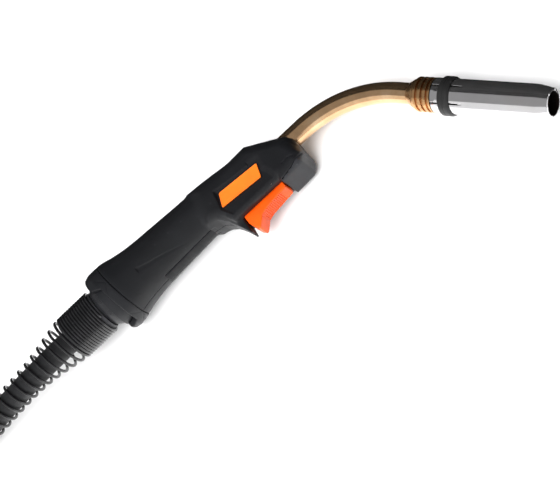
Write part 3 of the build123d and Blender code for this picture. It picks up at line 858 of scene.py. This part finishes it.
class TORCH_OT_nozzle(bpy.types.Operator):
    """Turn the slotted gas nozzle and its clamp ring"""

    bl_idname = "torch.nozzle"
    bl_label = "Gas nozzle and clamp ring"

    def execute(self, context):
        outer = [(0.0, 8.3), (0.0, 9.45), (-0.12, 9.7), (-0.45, 9.9)]
        outer += [(-0.5 - 13.5 * t, 9.9 + 1.8 * math.sin(t * math.pi / 2) ** 1.25) for t in
                  (0.08, 0.2, 0.32, 0.45, 0.6, 0.75, 0.88, 1.0)]
        outer += [(-x, 11.7) for x in (20, 30, 40, 50, 60, SLOT_END, 66, 70, 74, 78, 83.7)]
        inner = [(0.0, 8.3)] + [(-0.5, 8.1)] * 3
        inner += [(x, MOUTH_BORE if -x < SLOT_END + 1.4 else 9.3) for x, _ in outer[4:]]
        thin, angles = 0.9 / 11.7, []
        for slot in range(6):
            middle = math.radians(slot * 60 + 15)
            angles += [middle - thin / 2, middle + thin / 2]
            angles += [middle + thin / 2 + (math.pi / 3 - thin) * k / 26 for k in range(1, 26)]
        count, rings = len(angles), len(outer)
        points = [(x, r * math.cos(a), r * math.sin(a)) for x, r in outer for a in angles]
        points += [(x, r * math.cos(a), r * math.sin(a)) for x, r in inner for a in angles]
        base = rings * count
        open_row = [-outer[i][0] >= SLOT_END for i in range(rings - 1)]
        faces = []
        for i in range(rings - 1):
            for j in range(count):
                k = (j + 1) % count
                slotted = open_row[i] and j % 27 == 0
                if not slotted:
                    faces.append((i * count + j, i * count + k, (i + 1) * count + k, (i + 1) * count + j))
                    faces.append((base + i * count + j, base + (i + 1) * count + j,
                                  base + (i + 1) * count + k, base + i * count + k))
                else:
                    for edge in (j, k):
                        faces.append((i * count + edge, (i + 1) * count + edge,
                                      base + (i + 1) * count + edge, base + i * count + edge))
                    if not open_row[i - 1]:
                        here = i * count
                        faces.append((here + j, here + k, base + here + k, base + here + j))
        for row in (0, rings - 1):
            for j in range(count):
                k = (j + 1) % count
                if row == 0 or j % 27:
                    here = row * count
                    faces.append((here + j, here + k, base + here + k, base + here + j))
        nozzle = piece("gas_nozzle_barrel", points, faces, NOZZLE, "nozzle_plating", "gas_nozzle",
                       ("gas_nozzle",), "nozzle_chrome")
        # Painted shade inside the mouth's bore, and on the inner wall and slot walls behind the slots.
        paint_bore_shade(nozzle, 8.7, -SLOT_END - 0.5, -1.0)
        paint_bore_shade(nozzle, 11.2, -BARREL, -SLOT_END - 0.5)
        ring = [(-78.2, 11.72), (-78.2, 12.5), (-77.4, 13.1), (-74.6, 13.1), (-74.3, 12.85), (-73.9, 12.85),
                (-73.6, 13.1), (-71.6, 13.1), (-70.0, 12.3), (-70.0, 11.72)]
        piece("nozzle_clamp_band", *lathe(eased(ring, 0.35)), NOZZLE, "black_ring", "gas_nozzle",
              ("nozzle_clamp_ring",), "ring_black")
        return {"FINISHED"}


class TORCH_OT_neck(bpy.types.Operator):
    """Bend the copper neck and turn the finned seat"""

    bl_idname = "torch.neck"
    bl_label = "Swan neck and finned seat"

    def execute(self, context):
        radius, drop, corner, reach = 86.0, -4.4, 201.3, 153.5
        tangent = radius * math.tan(BEND / 2)
        route = [(x, drop, 0.0) for x in np.arange(86.0, corner - tangent, 6.0)]
        middle = (corner - tangent, drop - radius)
        for step in range(73):
            a = BEND * step / 72
            route.append((middle[0] + radius * math.sin(a), middle[1] + radius * math.cos(a), 0.0))
        for ahead in np.arange(tangent + 4.0, reach - 103.0, 4.0):
            route.append((corner + ahead * math.cos(BEND), drop - ahead * math.sin(BEND), 0.0))
        far = reach - 103.0
        route.append((corner + far * math.cos(BEND), drop - far * math.sin(BEND), 0.0))
        piece("swan_neck_tube", *sweep(route, sizes().neck_width / MM / 2, 96), HANDLE, "neck_copper",
              "handle", ("neck_jacket",), "neck_copper")
        seat = [(-66.0, 7.5), (-66.0, 8.65), (-66.6, 9.25), (-84.5, 9.25), (-84.5, 11.6)]
        for place in (86.6, 90.4, 94.3):
            seat += [(-place + 0.85, 11.6), (-place + 0.8, 9.75), (-place - 0.8, 9.75), (-place - 0.85, 11.6)]
        seat += [(-96.9, 11.6), (-97.5, 10.6), (-98.6, 10.1), (-99.3, 10.0), (-104.0, 7.25), (-104.0, 7.12),
                 (-98.0, 7.12), (-98.0, 7.5)]
        seat_piece = piece("finned_seat", *lathe(eased(seat, 0.38)), NOZZLE, "fin_brass", "handle",
                           ("nozzle_seat",), "fin_brass")
        # Painted shade on the seat where it shows through the nozzle's slots.
        paint_bore_shade(seat_piece, 9.4, -BARREL, -SLOT_END)
        return {"FINISHED"}


# ------------------------------------------------------------------ handle
TILT = math.radians(6.5)
GRIP = ((-20.0, 23.6), (1.0, 23.4), (10.0, 20.9), (20.0, 19.3), (30.0, 18.5), (45.0, 17.8), (60.0, 17.0),
        (75.0, 16.4), (88.0, 15.3), (98.0, 13.6), (112.0, 10.0))
grip_x = np.arange(-30.0, 130.0, 0.5)
grip_r = np.interp(grip_x, *zip(*GRIP))
for _ in range(2):
    grip_r = np.convolve(np.pad(grip_r, 6, "edge"), np.full(13, 1 / 13), "valid")
HEAD = [(76, 13.2), (92, 12.4), (108, 11.7), (126, 12.4), (152, -4.0), (154.5, -9.0), (154.5, -24.0),
        (150.5, -29.6), (148.0, -30.6), (132.2, -31.4), (131.5, -28.5), (91.0, -28.5), (87.6, -22),
        (83.6, -18), (76, -14.8)]
HEAD_HALF_WIDTH = 15.4
PANEL = [(93.0, -4.0), (127.5, -7.0), (124.9, -14.6), (127.1, -17.6), (129.9, -27.0), (134.0, -36.0),
         (97.3, -38.0), (97.3, -32.9), (92.6, -23.5), (89.6, -17.0)]
SPUR = [(84.0, -12.0), (83.5, -18.0), (87.1, -23.2), (89.6, -28.5), (92.1, -35.0), (93.8, -39.8),
        (95.0, -40.0), (95.4, -33.0), (95.5, -20.0), (95.5, -12.0)]
LABEL = [(94.3, -6.2), (126.6, -9.0), (123.6, -19.7), (90.5, -16.7)]
NOSE_SEAM = [(131.0, -30.6), (138.5, -29.7), (144.0, -28.9), (149.0, -27.2), (153.0, -25.2), (157.0, -20.0)]
NOSE_SPLIT = 132.2
NECK_Y, NECK_ROOM = -4.4, 7.25
GRIP_END = 112.0
SCREWS = ((30.0, 12.0), (58.0, 11.0), (142.0, -19.5))


def grip_radius(x):
    return np.interp(x, grip_x, grip_r)


def collar_plane(x, y):
    """How far a point is in front of the tilted seam between the collar and the shells."""
    return x * math.cos(TILT) + y * math.sin(TILT)


def wedge_relief(x, y, z):
    """Depth of the long wedge that is let into each side of the grip."""
    arc = np.arctan2(-y, np.abs(z)) * 18.0
    middle = np.interp(x, [19.3, 41.0, 53.0, 58.5], [7.9, 12.4, 15.9, 17.9])
    half = np.interp(x, [19.3, 58.5], [2.2, 0.25])
    across = arc - middle
    fade = np.clip((x - 19.2) / 0.5, 0, 1) * np.clip((58.8 - x) / 2.0, 0, 1)
    return 0.65 * fade * np.clip((across + half) / 0.55, 0, 1) * np.clip((half - across) / 2.4, 0, 1)


def outer_form(x, y, z):
    """The outside of both shells and the nose cover."""
    r = np.hypot(y, z)
    arc = np.arctan2(z, y) * 18.0
    under = np.arctan2(z, -y) * 17.5
    strip = np.clip((np.abs(arc) - 6.0) / 0.5, 0, 1)
    strip = 0.45 * np.clip((x - 43.8) / 0.5, 0, 1) * np.clip((86.5 - x) / 2.0, 0, 1) * (1 - strip)
    lower = 0.5 * np.clip((x - 29.0) / 0.6, 0, 1) * np.clip((77.0 - x) / 0.6, 0, 1)
    lower = lower * (1 - np.clip((np.abs(under) - 4.6) / 0.45, 0, 1))
    grip = (r - grip_radius(x) + wedge_relief(x, y, z) - strip + lower) * 0.97
    grip = both(grip, x - GRIP_END, 4.0)
    below = np.interp(x, [76, 126, 152, 154.5], [12.4, 12.4, -4.0, -9.0]) - y
    soft = np.interp(below, [9.0, 18.0, 26.0], [11.5, 7.0, 6.0])
    head = both(outline_field(x, y, HEAD), np.abs(z) - HEAD_HALF_WIDTH, soft)
    spur = both(outline_field(x, y, SPUR), np.abs(z) - np.interp(y, [-39, -28, -18], [5.6, 6.6, 10.5]), 1.2)
    head = either(head, spur, 2.5)
    body = either(grip, head, 5.0)
    edge = outline_field(x, y, PANEL)
    slope = np.where(x > 121, 0.34, 1.5)
    floor = 14.15 + slope * np.maximum(edge, 0)
    body = both(body, (np.abs(z) - floor) / np.sqrt(1 + slope**2), 0.25)
    slit = line_field(x, y, [(139.7, -23.1), (144.7, -22.5), (149.8, -24.3), (153.5, -26.3)])
    slit = both(slit - 0.22, 14.7 - np.abs(z))
    return without(body, slit)


def rooms(x, y, z, outside):
    """Everything that is hollow inside the shells."""
    r = np.hypot(y, z)
    ball = np.sqrt((x - BALL_X) ** 2 + r**2) - 20.5
    tube = both(r - grip_radius(x) + 2.3, both(9.0 - x, x - 87.0))
    room = both(block_field(x, y, z, (80.0, -25.6, -12.9), (131.0, 9.2, 12.9), 5.0), outside + 1.3)
    well = block_field(x, y, z, (95.7, -60.0, -6.9), (131.8, -20.0, 6.9))
    bore = both(np.hypot(y - NECK_Y, z) - NECK_ROOM, 119.0 - x)
    rear = both(r - 15.0, x - 14.0)
    empty = np.minimum(np.minimum(np.minimum(ball, tube), np.minimum(room, well)), np.minimum(bore, rear))
    clamp = block_field(x, y, z, (88.0, -16.0, -13.5), (92.0, 10.0, 13.5))
    clamp = without(clamp, np.hypot(y - NECK_Y, z) - NECK_ROOM)
    return without(empty, clamp)


def screw_wells(x, y, z):
    """The recesses in the right shell for the three screws."""
    rear, middle, front = (np.hypot(x - sx, y - sy) for sx, sy in SCREWS)
    near = np.minimum(rear, np.minimum(middle, front))
    return both(near - 3.0, z + 9.6)


def shell_form(side):
    """The field of the left (1) or right (-1) shell."""
    def field(x, y, z):
        outside = outer_form(x, y, z)
        body = both(outside, -collar_plane(x, y) + 0.12, 0.5)
        body = without(body, rooms(x, y, z, outside))
        above = np.interp(x, *zip(*NOSE_SEAM))
        cover = both(y - above - 0.12, NOSE_SPLIT - 0.1 - x)
        body = without(body, cover, 0.3)
        body = both(body, 0.07 - side * z, 0.28)
        return body if side > 0 else without(body, screw_wells(x, y, z))
    return field


def cover_form(x, y, z):
    """The lower nose cover, below its curved seam."""
    seam = np.interp(x, *zip(*NOSE_SEAM))
    body = both(outer_form(x, y, z), both(y - seam + 0.14, NOSE_SPLIT + 0.1 - x), 0.3)
    body = without(body, both(np.hypot(y - NECK_Y, z) - NECK_ROOM, 119.0 - x))
    notch = line_field(x, y, [(152.4, -28.4), (158.5, -26.0)])
    return without(body, both(notch - 0.8, 8.5 - np.abs(z)))


def collar_form(x, y, z):
    """The tilted rear collar, with two ears and two scallops."""
    r = np.hypot(y, z)
    p = collar_plane(x, y)
    q = -x * math.sin(TILT) + y * math.cos(TILT)
    turn = np.arctan2(z, q)
    around = np.cos(2 * (turn - math.radians(42.0 + 6.0)))
    facet = np.interp(p, [-15, -13.9, -12.2, -8.0, -3.0, 0], [20.6, 21.6, 23.2, 24.2, 23.8, 23.4])
    round_form = np.hypot(q, z) - facet + 0.35 * (1 - around) * np.interp(p, [-14, -8, 0], [0.6, 1.0, 0.0])
    body = both(round_form, both(p + 0.12, -13.9 - p), 0.6)
    depth = -13.9 + 7.0 * np.clip((0.42 - around) / 0.5, 0, 1)
    body = both(body, (depth - p) * 0.75, 0.5)
    body = without(body, np.sqrt((x - BALL_X) ** 2 + r**2) - 20.5)
    body = without(body, both(r - 19.0 - np.maximum(0, -x - 12) * 0.7, x + 4.0))
    body = without(body, both(r - 22.0, -4.3 - x))
    creases = [[(-6.6, -4.5), (-0.7, 1.5), (-5.6, 10.7)], [(-3.3, 29.1), (3.0, 36.5)]]
    for crease in creases:
        line = line_field(x, np.arctan2(-y, np.abs(z)) * 23.5, crease)
        body = body + 0.30 * np.clip(1 - line / 0.5, 0, 1) * (r > 21.5)
    return body


class TORCH_OT_handle(bpy.types.Operator):
    """Mould the two handle shells, the nose cover and the rear collar"""

    bl_idname = "torch.handle"
    bl_label = "Handle shells, nose and collar"

    def execute(self, context):
        step = sizes().mould_step / MM
        shells = ((1, "handle_shell_left", "left_shell"), (-1, "handle_shell_right", "right_shell"))
        for side, name, node in shells:
            low, high = (-5.0, -40.5, -0.4 if side > 0 else -24.5), (155.5, 24.5, 24.5 if side > 0 else 0.4)
            points, faces = skin(shell_form(side), low, high, step)
            piece(name, points, faces, HANDLE, "handle_moulding", "handle", (node,), "handle_plastic",
                  weighted=False)
        points, faces = skin(cover_form, (131.0, -33.0, -17.0), (156.0, -18.0, 17.0), step)
        piece("nose_cover_moulding", points, faces, HANDLE, "nose_moulding", "handle", ("nose_cover",),
              "nose_plastic", weighted=False)
        points, faces = skin(collar_form, (-18.5, -26.5, -26.5), (5.5, 26.5, 26.5), step)
        piece("rear_collar_moulding", points, faces, HANDLE, "collar_moulding", "handle", ("rear_collar",),
              "handle_plastic", weighted=False)
        for side in (1, -1):
            self.label(side)
        self.strips()
        return {"FINISHED"}

    def label(self, side):
        """A slanting plate with a low rim, let into the side panel."""
        outline = eased(LABEL, 1.1, 4)
        middle = np.mean(np.array(LABEL), 0)
        layers = [(1.0, 14.05), (1.0, 15.1), (0.994, 15.28), (0.986, 15.35), (0.955, 15.35), (0.945, 15.18)]
        points = []
        for share, z in layers:
            for spot in outline:
                x, y = spot
                if share != 1.0:
                    inward = middle - np.array(spot)
                    inward = inward / np.abs(inward) * (1 - share) * 16.0
                    x, y = x + inward[0], y + inward[1]
                points.append((x, y, side * z))
        count = len(outline)
        faces = [tuple(range(count))[::-1], tuple(range((len(layers) - 1) * count, len(layers) * count))]
        for layer in range(len(layers) - 1):
            for i in range(count):
                j = (i + 1) % count
                here, above = layer * count, (layer + 1) * count
                faces.append((here + i, here + j, above + j, above + i))
        name = "label_plate_left" if side > 0 else "label_plate_right"
        piece(name + "_moulding", points, faces, HANDLE, "label_moulding", "handle", (name,), "label_orange")

    def strips(self):
        """The soft strips along the top and under the grip."""
        strips = (("soft_strip_top", "grip_strip_top", 45.5, 75.5, 5.0, True),
                  ("soft_strip_bottom", "grip_strip_bottom", 30.0, 76.0, 4.2, False))
        for name, node, first, last, half, top in strips:
            points = []
            along, across = np.linspace(first, last, 60), np.linspace(-1, 1, 15)
            for deep in (0, 1):
                for x in along:
                    for share in across:
                        end = min(x - first, last - x)
                        lift = (0.62 if top else 0.12) * min(1, end / 1.2) * (1 - abs(share) ** 6)
                        ribs = 0.10 * math.sin(x * 2.1) if not top else 0.0
                        r = float(grip_radius(x)) + (lift + ribs if deep else -0.8)
                        angle = share * half / r
                        points.append((x, (1 if top else -1) * r * math.cos(angle), r * math.sin(angle)))
            rows, wide = len(along), len(across)
            faces = []
            for deep in (0, 1):
                for i in range(rows - 1):
                    for j in range(wide - 1):
                        a = deep * rows * wide + i * wide + j
                        faces.append((a, a + 1, a + wide + 1, a + wide))
            rim = [i * wide for i in range(rows)] + [(rows - 1) * wide + j for j in range(1, wide)] \
                + [i * wide + wide - 1 for i in range(rows - 2, -1, -1)] + list(range(wide - 2, 0, -1))
            base = rows * wide
            faces += [(rim[k], rim[(k + 1) % len(rim)], rim[(k + 1) % len(rim)] + base, rim[k] + base)
                      for k in range(len(rim))]
            piece(name, points, faces, HANDLE, "soft_grip", "handle", (node,), "grip_rubber", weighted=False)


class TORCH_OT_ball(bpy.types.Operator):
    """Turn the swivel ball and its seat ring"""

    bl_idname = "torch.ball"
    bl_label = "Ball joint"

    def execute(self, context):
        def arc(radius, first, last, steps):
            spots = []
            for x in np.linspace(first, last, steps):
                spots.append((BALL_X + x, math.sqrt(radius * radius - x * x)))
            return spots

        ball = arc(18.5, -12.5, 13.0, 60) + [(7.0, 8.6), (-18.5, 8.6)]
        piece("swivel_ball_moulding", *lathe(eased(ball, 0.5, 2), 160), HANDLE, "ball_moulding", "ball",
              ("swivel_ball",), "ball_plastic", weighted=False)
        ring = arc(20.15, -6.4, 10.0, 36) + arc(18.72, -6.4, 10.0, 36)[::-1]
        piece("seat_ring_moulding", *lathe(eased(ring, 0.3, 2), 160), HANDLE, "collar_moulding", "seat_ring",
              ("ball_seat_ring",), "ball_plastic", weighted=False)
        return {"FINISHED"}


# ------------------------------------------------------------------ trigger
TRIGGER = [(96.6, -23.4), (96.6, -34.0), (98.3, -39.5), (100.3, -42.2), (101.6, -42.2), (103.8, -40.0),
           (107.2, -36.2), (112.0, -34.6), (122.0, -33.5), (130.5, -32.6), (131.3, -31.0), (131.3, -27.0),
           (129.4, -24.0)]
RIB_PITCH, FIRST_RIB, LAST_RIB = 1.42, 106.6, 125.4
RIB_DEPTH, TRIGGER_HALF_WIDTH = 0.6, 6.2
TRIGGER_PIN, PIN_ROOM = (128.0, -26.2), 1.56


def trigger_form(x, y, z):
    """The ribbed trigger, hollow above, with a post for the switch and a hole for its pin."""
    outline = outline_field(x, y, TRIGGER)
    ribs = 0.5 - 0.5 * np.cos((x - FIRST_RIB) * 2 * math.pi / RIB_PITCH)
    ribbed = np.clip((x - FIRST_RIB) / 0.3, 0, 1) * np.clip((LAST_RIB - x) / 0.3, 0, 1)
    ribbed = ribbed * np.clip((5.7 - np.abs(z)) / 0.3, 0, 1) * (y < -31)
    outline = outline + RIB_DEPTH * ribbed * (1 - ribs)
    body = both(outline, np.abs(z) - TRIGGER_HALF_WIDTH, 0.9)
    body = without(body, block_field(x, y, z, (110.1, -31.0, -5.0), (124.6, -20.0, 5.0), 0.8))
    post = block_field(x, y, z, (104.8, -24.5, -2.1), (108.4, -21.85, 2.1), 0.4)
    body = either(body, post, 0.3)
    return without(body, np.hypot(x - TRIGGER_PIN[0], y - TRIGGER_PIN[1]) - PIN_ROOM)


class TORCH_OT_trigger(bpy.types.Operator):
    """Mould the ribbed trigger"""

    bl_idname = "torch.trigger"
    bl_label = "Trigger"

    def execute(self, context):
        step = 0.3
        points, faces = skin(trigger_form, (96.0, -42.9, -6.6), (131.9, -21.4, 6.6), step)
        piece("trigger_moulding", points, faces, HANDLE, "trigger_moulding", "trigger", ("trigger",),
              "trigger_orange", weighted=False)
        return {"FINISHED"}


# ------------------------------------------------------------------ connector
def housing_form(side):
    """The field of one half of the connector's ribbed housing."""
    def field(x, y, z):
        r = np.hypot(y, z)
        outer = np.interp(x, [2.2, 8.0, 24.0, 40.0, 56.0, 70.0, 84.0],
                          [13.6, 16.5, 17.2, 18.6, 20.6, 22.6, 23.3])
        inner = np.interp(x, [2.0, 6.0, 10.0, 40.0, 70.0, 84.0], [8.1, 8.1, 13.6, 16.5, 20.2, 20.6])
        grooves = 0.6 * (0.5 - 0.5 * np.cos((x - 14.0) * 2 * math.pi / 6.0))
        grooves = grooves * np.clip((x - 14.0) / 1.0, 0, 1) * np.clip((50.0 - x) / 1.0, 0, 1)
        grooves = grooves * np.clip((np.abs(y) - 5.0) / 2.0, 0, 1)
        body = both(r - outer + grooves, both(2.2 - x, x - 84.0), 0.9)
        body = without(body, both(r - inner, 6.0 - x))
        body = without(body, r - 8.1)
        for place in (20.0, 60.0):
            body = without(body, both(np.hypot(x - place, y) - 2.6, 14.6 - np.abs(z)), 0.2)
        return both(body, 0.08 - side * z, 0.3)
    return field


class TORCH_OT_connector(bpy.types.Operator):
    """Mould the connector's housing"""

    bl_idname = "torch.connector"
    bl_label = "Machine connector"

    def execute(self, context):
        step = 0.7
        for side, name in ((1, "plug_housing_upper"), (-1, "plug_housing_lower")):
            low = (1.5, -24.2, -0.5 if side > 0 else -24.2)
            high = (84.8, 24.2, 24.2 if side > 0 else 0.5)
            points, faces = skin(housing_form(side), low, high, step)
            shell = piece(name + "_moulding", points, faces, PLUG, "connector_moulding", "cable", (name,),
                          "plug_plastic", weighted=False)
            STATE["cord"]["pieces"].append(shell)
        return {"FINISHED"}


# ------------------------------------------------------------------ carried-over parts
INNER = {
    "spring_ferrule": "connector_moulding", "retaining_clip": "steel", "inner_cable": "cable_rubber",
    "neck_union": "holder_brass", "neck_insulation": "insulation", "neck_inner_tube": "tip_copper",
    "wire_liner": "steel", "trigger_pin": "steel", "microswitch": "switch_moulding",
    "switch_terminals": "steel", "control_wires": "wire_insulation", "seat_insulator": "insulation",
    "tip_holder": "holder_brass", "gas_diffuser": "ceramic", "contact_tip": "tip_copper",
    "switch_plunger": "connector_moulding", "shell_screws": "steel", "plug_block": "holder_brass",
    "plug_face": "connector_moulding", "plug_nut_retainer": "steel", "plug_nut": "connector_moulding",
    "plug_pin_1": "holder_brass", "plug_pin_2": "holder_brass",
}


class TORCH_OT_inner_finishes(bpy.types.Operator):
    """Finish the working parts that keep their own shape"""

    bl_idname = "torch.inner_finishes"
    bl_label = "Working parts' finishes"

    def execute(self, context):
        for node, coat in INNER.items():
            data = frame["nodes"][node].data
            data.materials.clear()
            data.materials.append(finish(coat))
        return {"FINISHED"}


# ------------------------------------------------------------------ stage
STATE = {}


def glow(name, where, toward, size, power):
    """A soft lamp that looks toward a point; its size is (wide, high) in metres."""
    data = bpy.data.lights.new(name, "AREA")
    data.shape, data.size, data.size_y, data.energy = "RECTANGLE", size[0], size[1], power
    lamp = bpy.data.objects.new(name, data)
    bpy.context.scene.collection.objects.link(lamp)
    lamp.visible_glossy = False
    lamp.location = where
    lamp.rotation_euler = (Vector(toward) - Vector(where)).to_track_quat("-Z", "Y").to_euler()
    return lamp


class TORCH_OT_stage(bpy.types.Operator):
    """Set the camera, the floor and the studio lights"""

    bl_idname = "torch.stage"
    bl_label = "Camera, floor and lights"

    def execute(self, context):
        scene = context.scene
        right, up, back = (Vector(v) for v in ((0.85597664, 0.19867217, -0.47731894),
                                               (-0.08232321, 0.96381695, 0.25353457),
                                               (0.51041835, -0.17772524, 0.84136012)))
        spot = Vector((-0.007656, -0.022754, 0.022747)) + back * 2.2
        camera = bpy.data.objects.new("camera", bpy.data.cameras.new("camera"))
        camera.data.lens, camera.data.sensor_width = 216.27, 36.0
        camera.matrix_world = Matrix(((right.x, up.x, back.x, spot.x), (right.y, up.y, back.y, spot.y),
                                      (right.z, up.z, back.z, spot.z), (0, 0, 0, 1)))
        scene.collection.objects.link(camera)
        scene.camera = camera
        scene.view_settings.view_transform = "Standard"
        self.floor()
        world = bpy.data.worlds.new("studio")
        scene.world = world
        world.use_nodes = True
        world.node_tree.nodes["Background"].inputs["Color"].default_value = (1.0, 1.0, 1.0, 1.0)
        world.node_tree.nodes["Background"].inputs["Strength"].default_value = 0.34
        glow("key", (0.25, -1.1, 1.2), (0.0, 0.0, 0.0), (1.3, 1.3), 34.0)
        glow("overhead", (-0.2, -0.25, 1.6), (0.0, 0.0, 0.0), (1.6, 1.2), 30.0)
        # Black flag standing on the +Y side, seen only in reflections: painted dark reflections on the upper
        # sides of the nozzle and handle.
        beyond = [(0.13, 0.002), (0.30, 0.30), (0.33, 0.55), (0.26, 0.80)]
        self.card("flag", [(x, y, z) for x in (-0.7, 0.5) for y, z in beyond],
                  [(0, 1, 5, 4), (1, 2, 6, 5), (2, 3, 7, 6)], 0.0)
        # Black sheet lying on the floor, seen only in reflections: painted dark reflections where the pale
        # floor would show.
        near = [(0.5, 0.108), (0.03, 0.108), (-0.06, 0.06), (-0.25, -0.15), (-0.6, -0.15), (-0.6, 0.6),
                (0.5, 0.6)]
        self.card("low_flag", [(x, y, 0.0006) for x, y in near], [tuple(range(7))], 0.0)
        # Glowing card on the -Y side, seen only in reflections: a painted bright reflection along the lower
        # sides.
        bright = [(-0.9, -0.55, 0.0), (0.7, -0.55, 0.0), (0.7, -0.75, 0.8), (-0.9, -0.75, 0.8)]
        self.card("white_card", bright, [(0, 1, 2, 3)], 0.9)
        return {"FINISHED"}

    def floor(self):
        data = bpy.data.meshes.new("floor")
        reach = 3.0
        data.from_pydata([(-reach, -reach, -0.0003), (reach, -reach, -0.0003), (reach, reach, -0.0003),
                          (-reach, reach, -0.0003)], [], [(0, 1, 2, 3)])
        floor = bpy.data.objects.new("floor", data)
        bpy.context.scene.collection.objects.link(floor)
        data.materials.append(finish("floor"))

    def card(self, name, spots, faces, brightness):
        """A studio card which only reflections see: a black card paints dark reflections, and a lit, glowing
        card paints a bright reflection.
        """
        data = bpy.data.meshes.new(name)
        data.from_pydata(spots, [], faces)
        card = bpy.data.objects.new(name, data)
        bpy.context.scene.collection.objects.link(card)
        # Near-black sheet that glows at the given brightness: a painted reflection, since the lamps are
        # hidden from reflections.
        coat = Finish(name + "_painted_reflection")
        coat.colour(coat.tint(coat.noise(40.0), ((0.3, (0.012, 0.012, 0.012)), (0.7, (0.02, 0.02, 0.02)))))
        coat.rough(coat.spread(coat.noise(90.0), 0.85, 0.95))
        coat.set(Emission_Color=(1.0, 1.0, 1.0, 1.0), Emission_Strength=brightness)
        data.materials.append(coat.material)
        card.visible_camera = card.visible_diffuse = card.visible_shadow = False


class TORCH_PT_builder(bpy.types.Panel):
    bl_label = "Welding torch"
    bl_idname = "TORCH_PT_builder"
    bl_space_type = "VIEW_3D"
    bl_region_type = "UI"
    bl_category = "Torch"

    def draw(self, context):
        column = self.layout.column(align=True)
        for kind in STEPS:
            column.operator(kind.bl_idname)
        for group in (context.scene.torch_sizes, context.scene.torch_colours):
            box = self.layout.box()
            for key in group.bl_rna.properties.keys():
                if key not in ("rna_type", "name"):
                    box.prop(group, key)


STEPS = (TORCH_OT_stage, TORCH_OT_cable, TORCH_OT_nozzle, TORCH_OT_neck, TORCH_OT_handle, TORCH_OT_ball,
         TORCH_OT_trigger, TORCH_OT_connector, TORCH_OT_inner_finishes)
CLASSES = (TorchSizes, TorchColours, *STEPS, TORCH_PT_builder)


def register():
    for kind in CLASSES:
        bpy.utils.register_class(kind)
    bpy.types.Scene.torch_sizes = bpy.props.PointerProperty(type=TorchSizes)
    bpy.types.Scene.torch_colours = bpy.props.PointerProperty(type=TorchColours)


def unregister():
    del bpy.types.Scene.torch_colours
    del bpy.types.Scene.torch_sizes
    for kind in reversed(CLASSES):
        bpy.utils.unregister_class(kind)


def main():
    register()
    for kind in STEPS:
        family, name = kind.bl_idname.split(".")
        getattr(getattr(bpy.ops, family), name)()


if __name__ == "__main__":
    main()
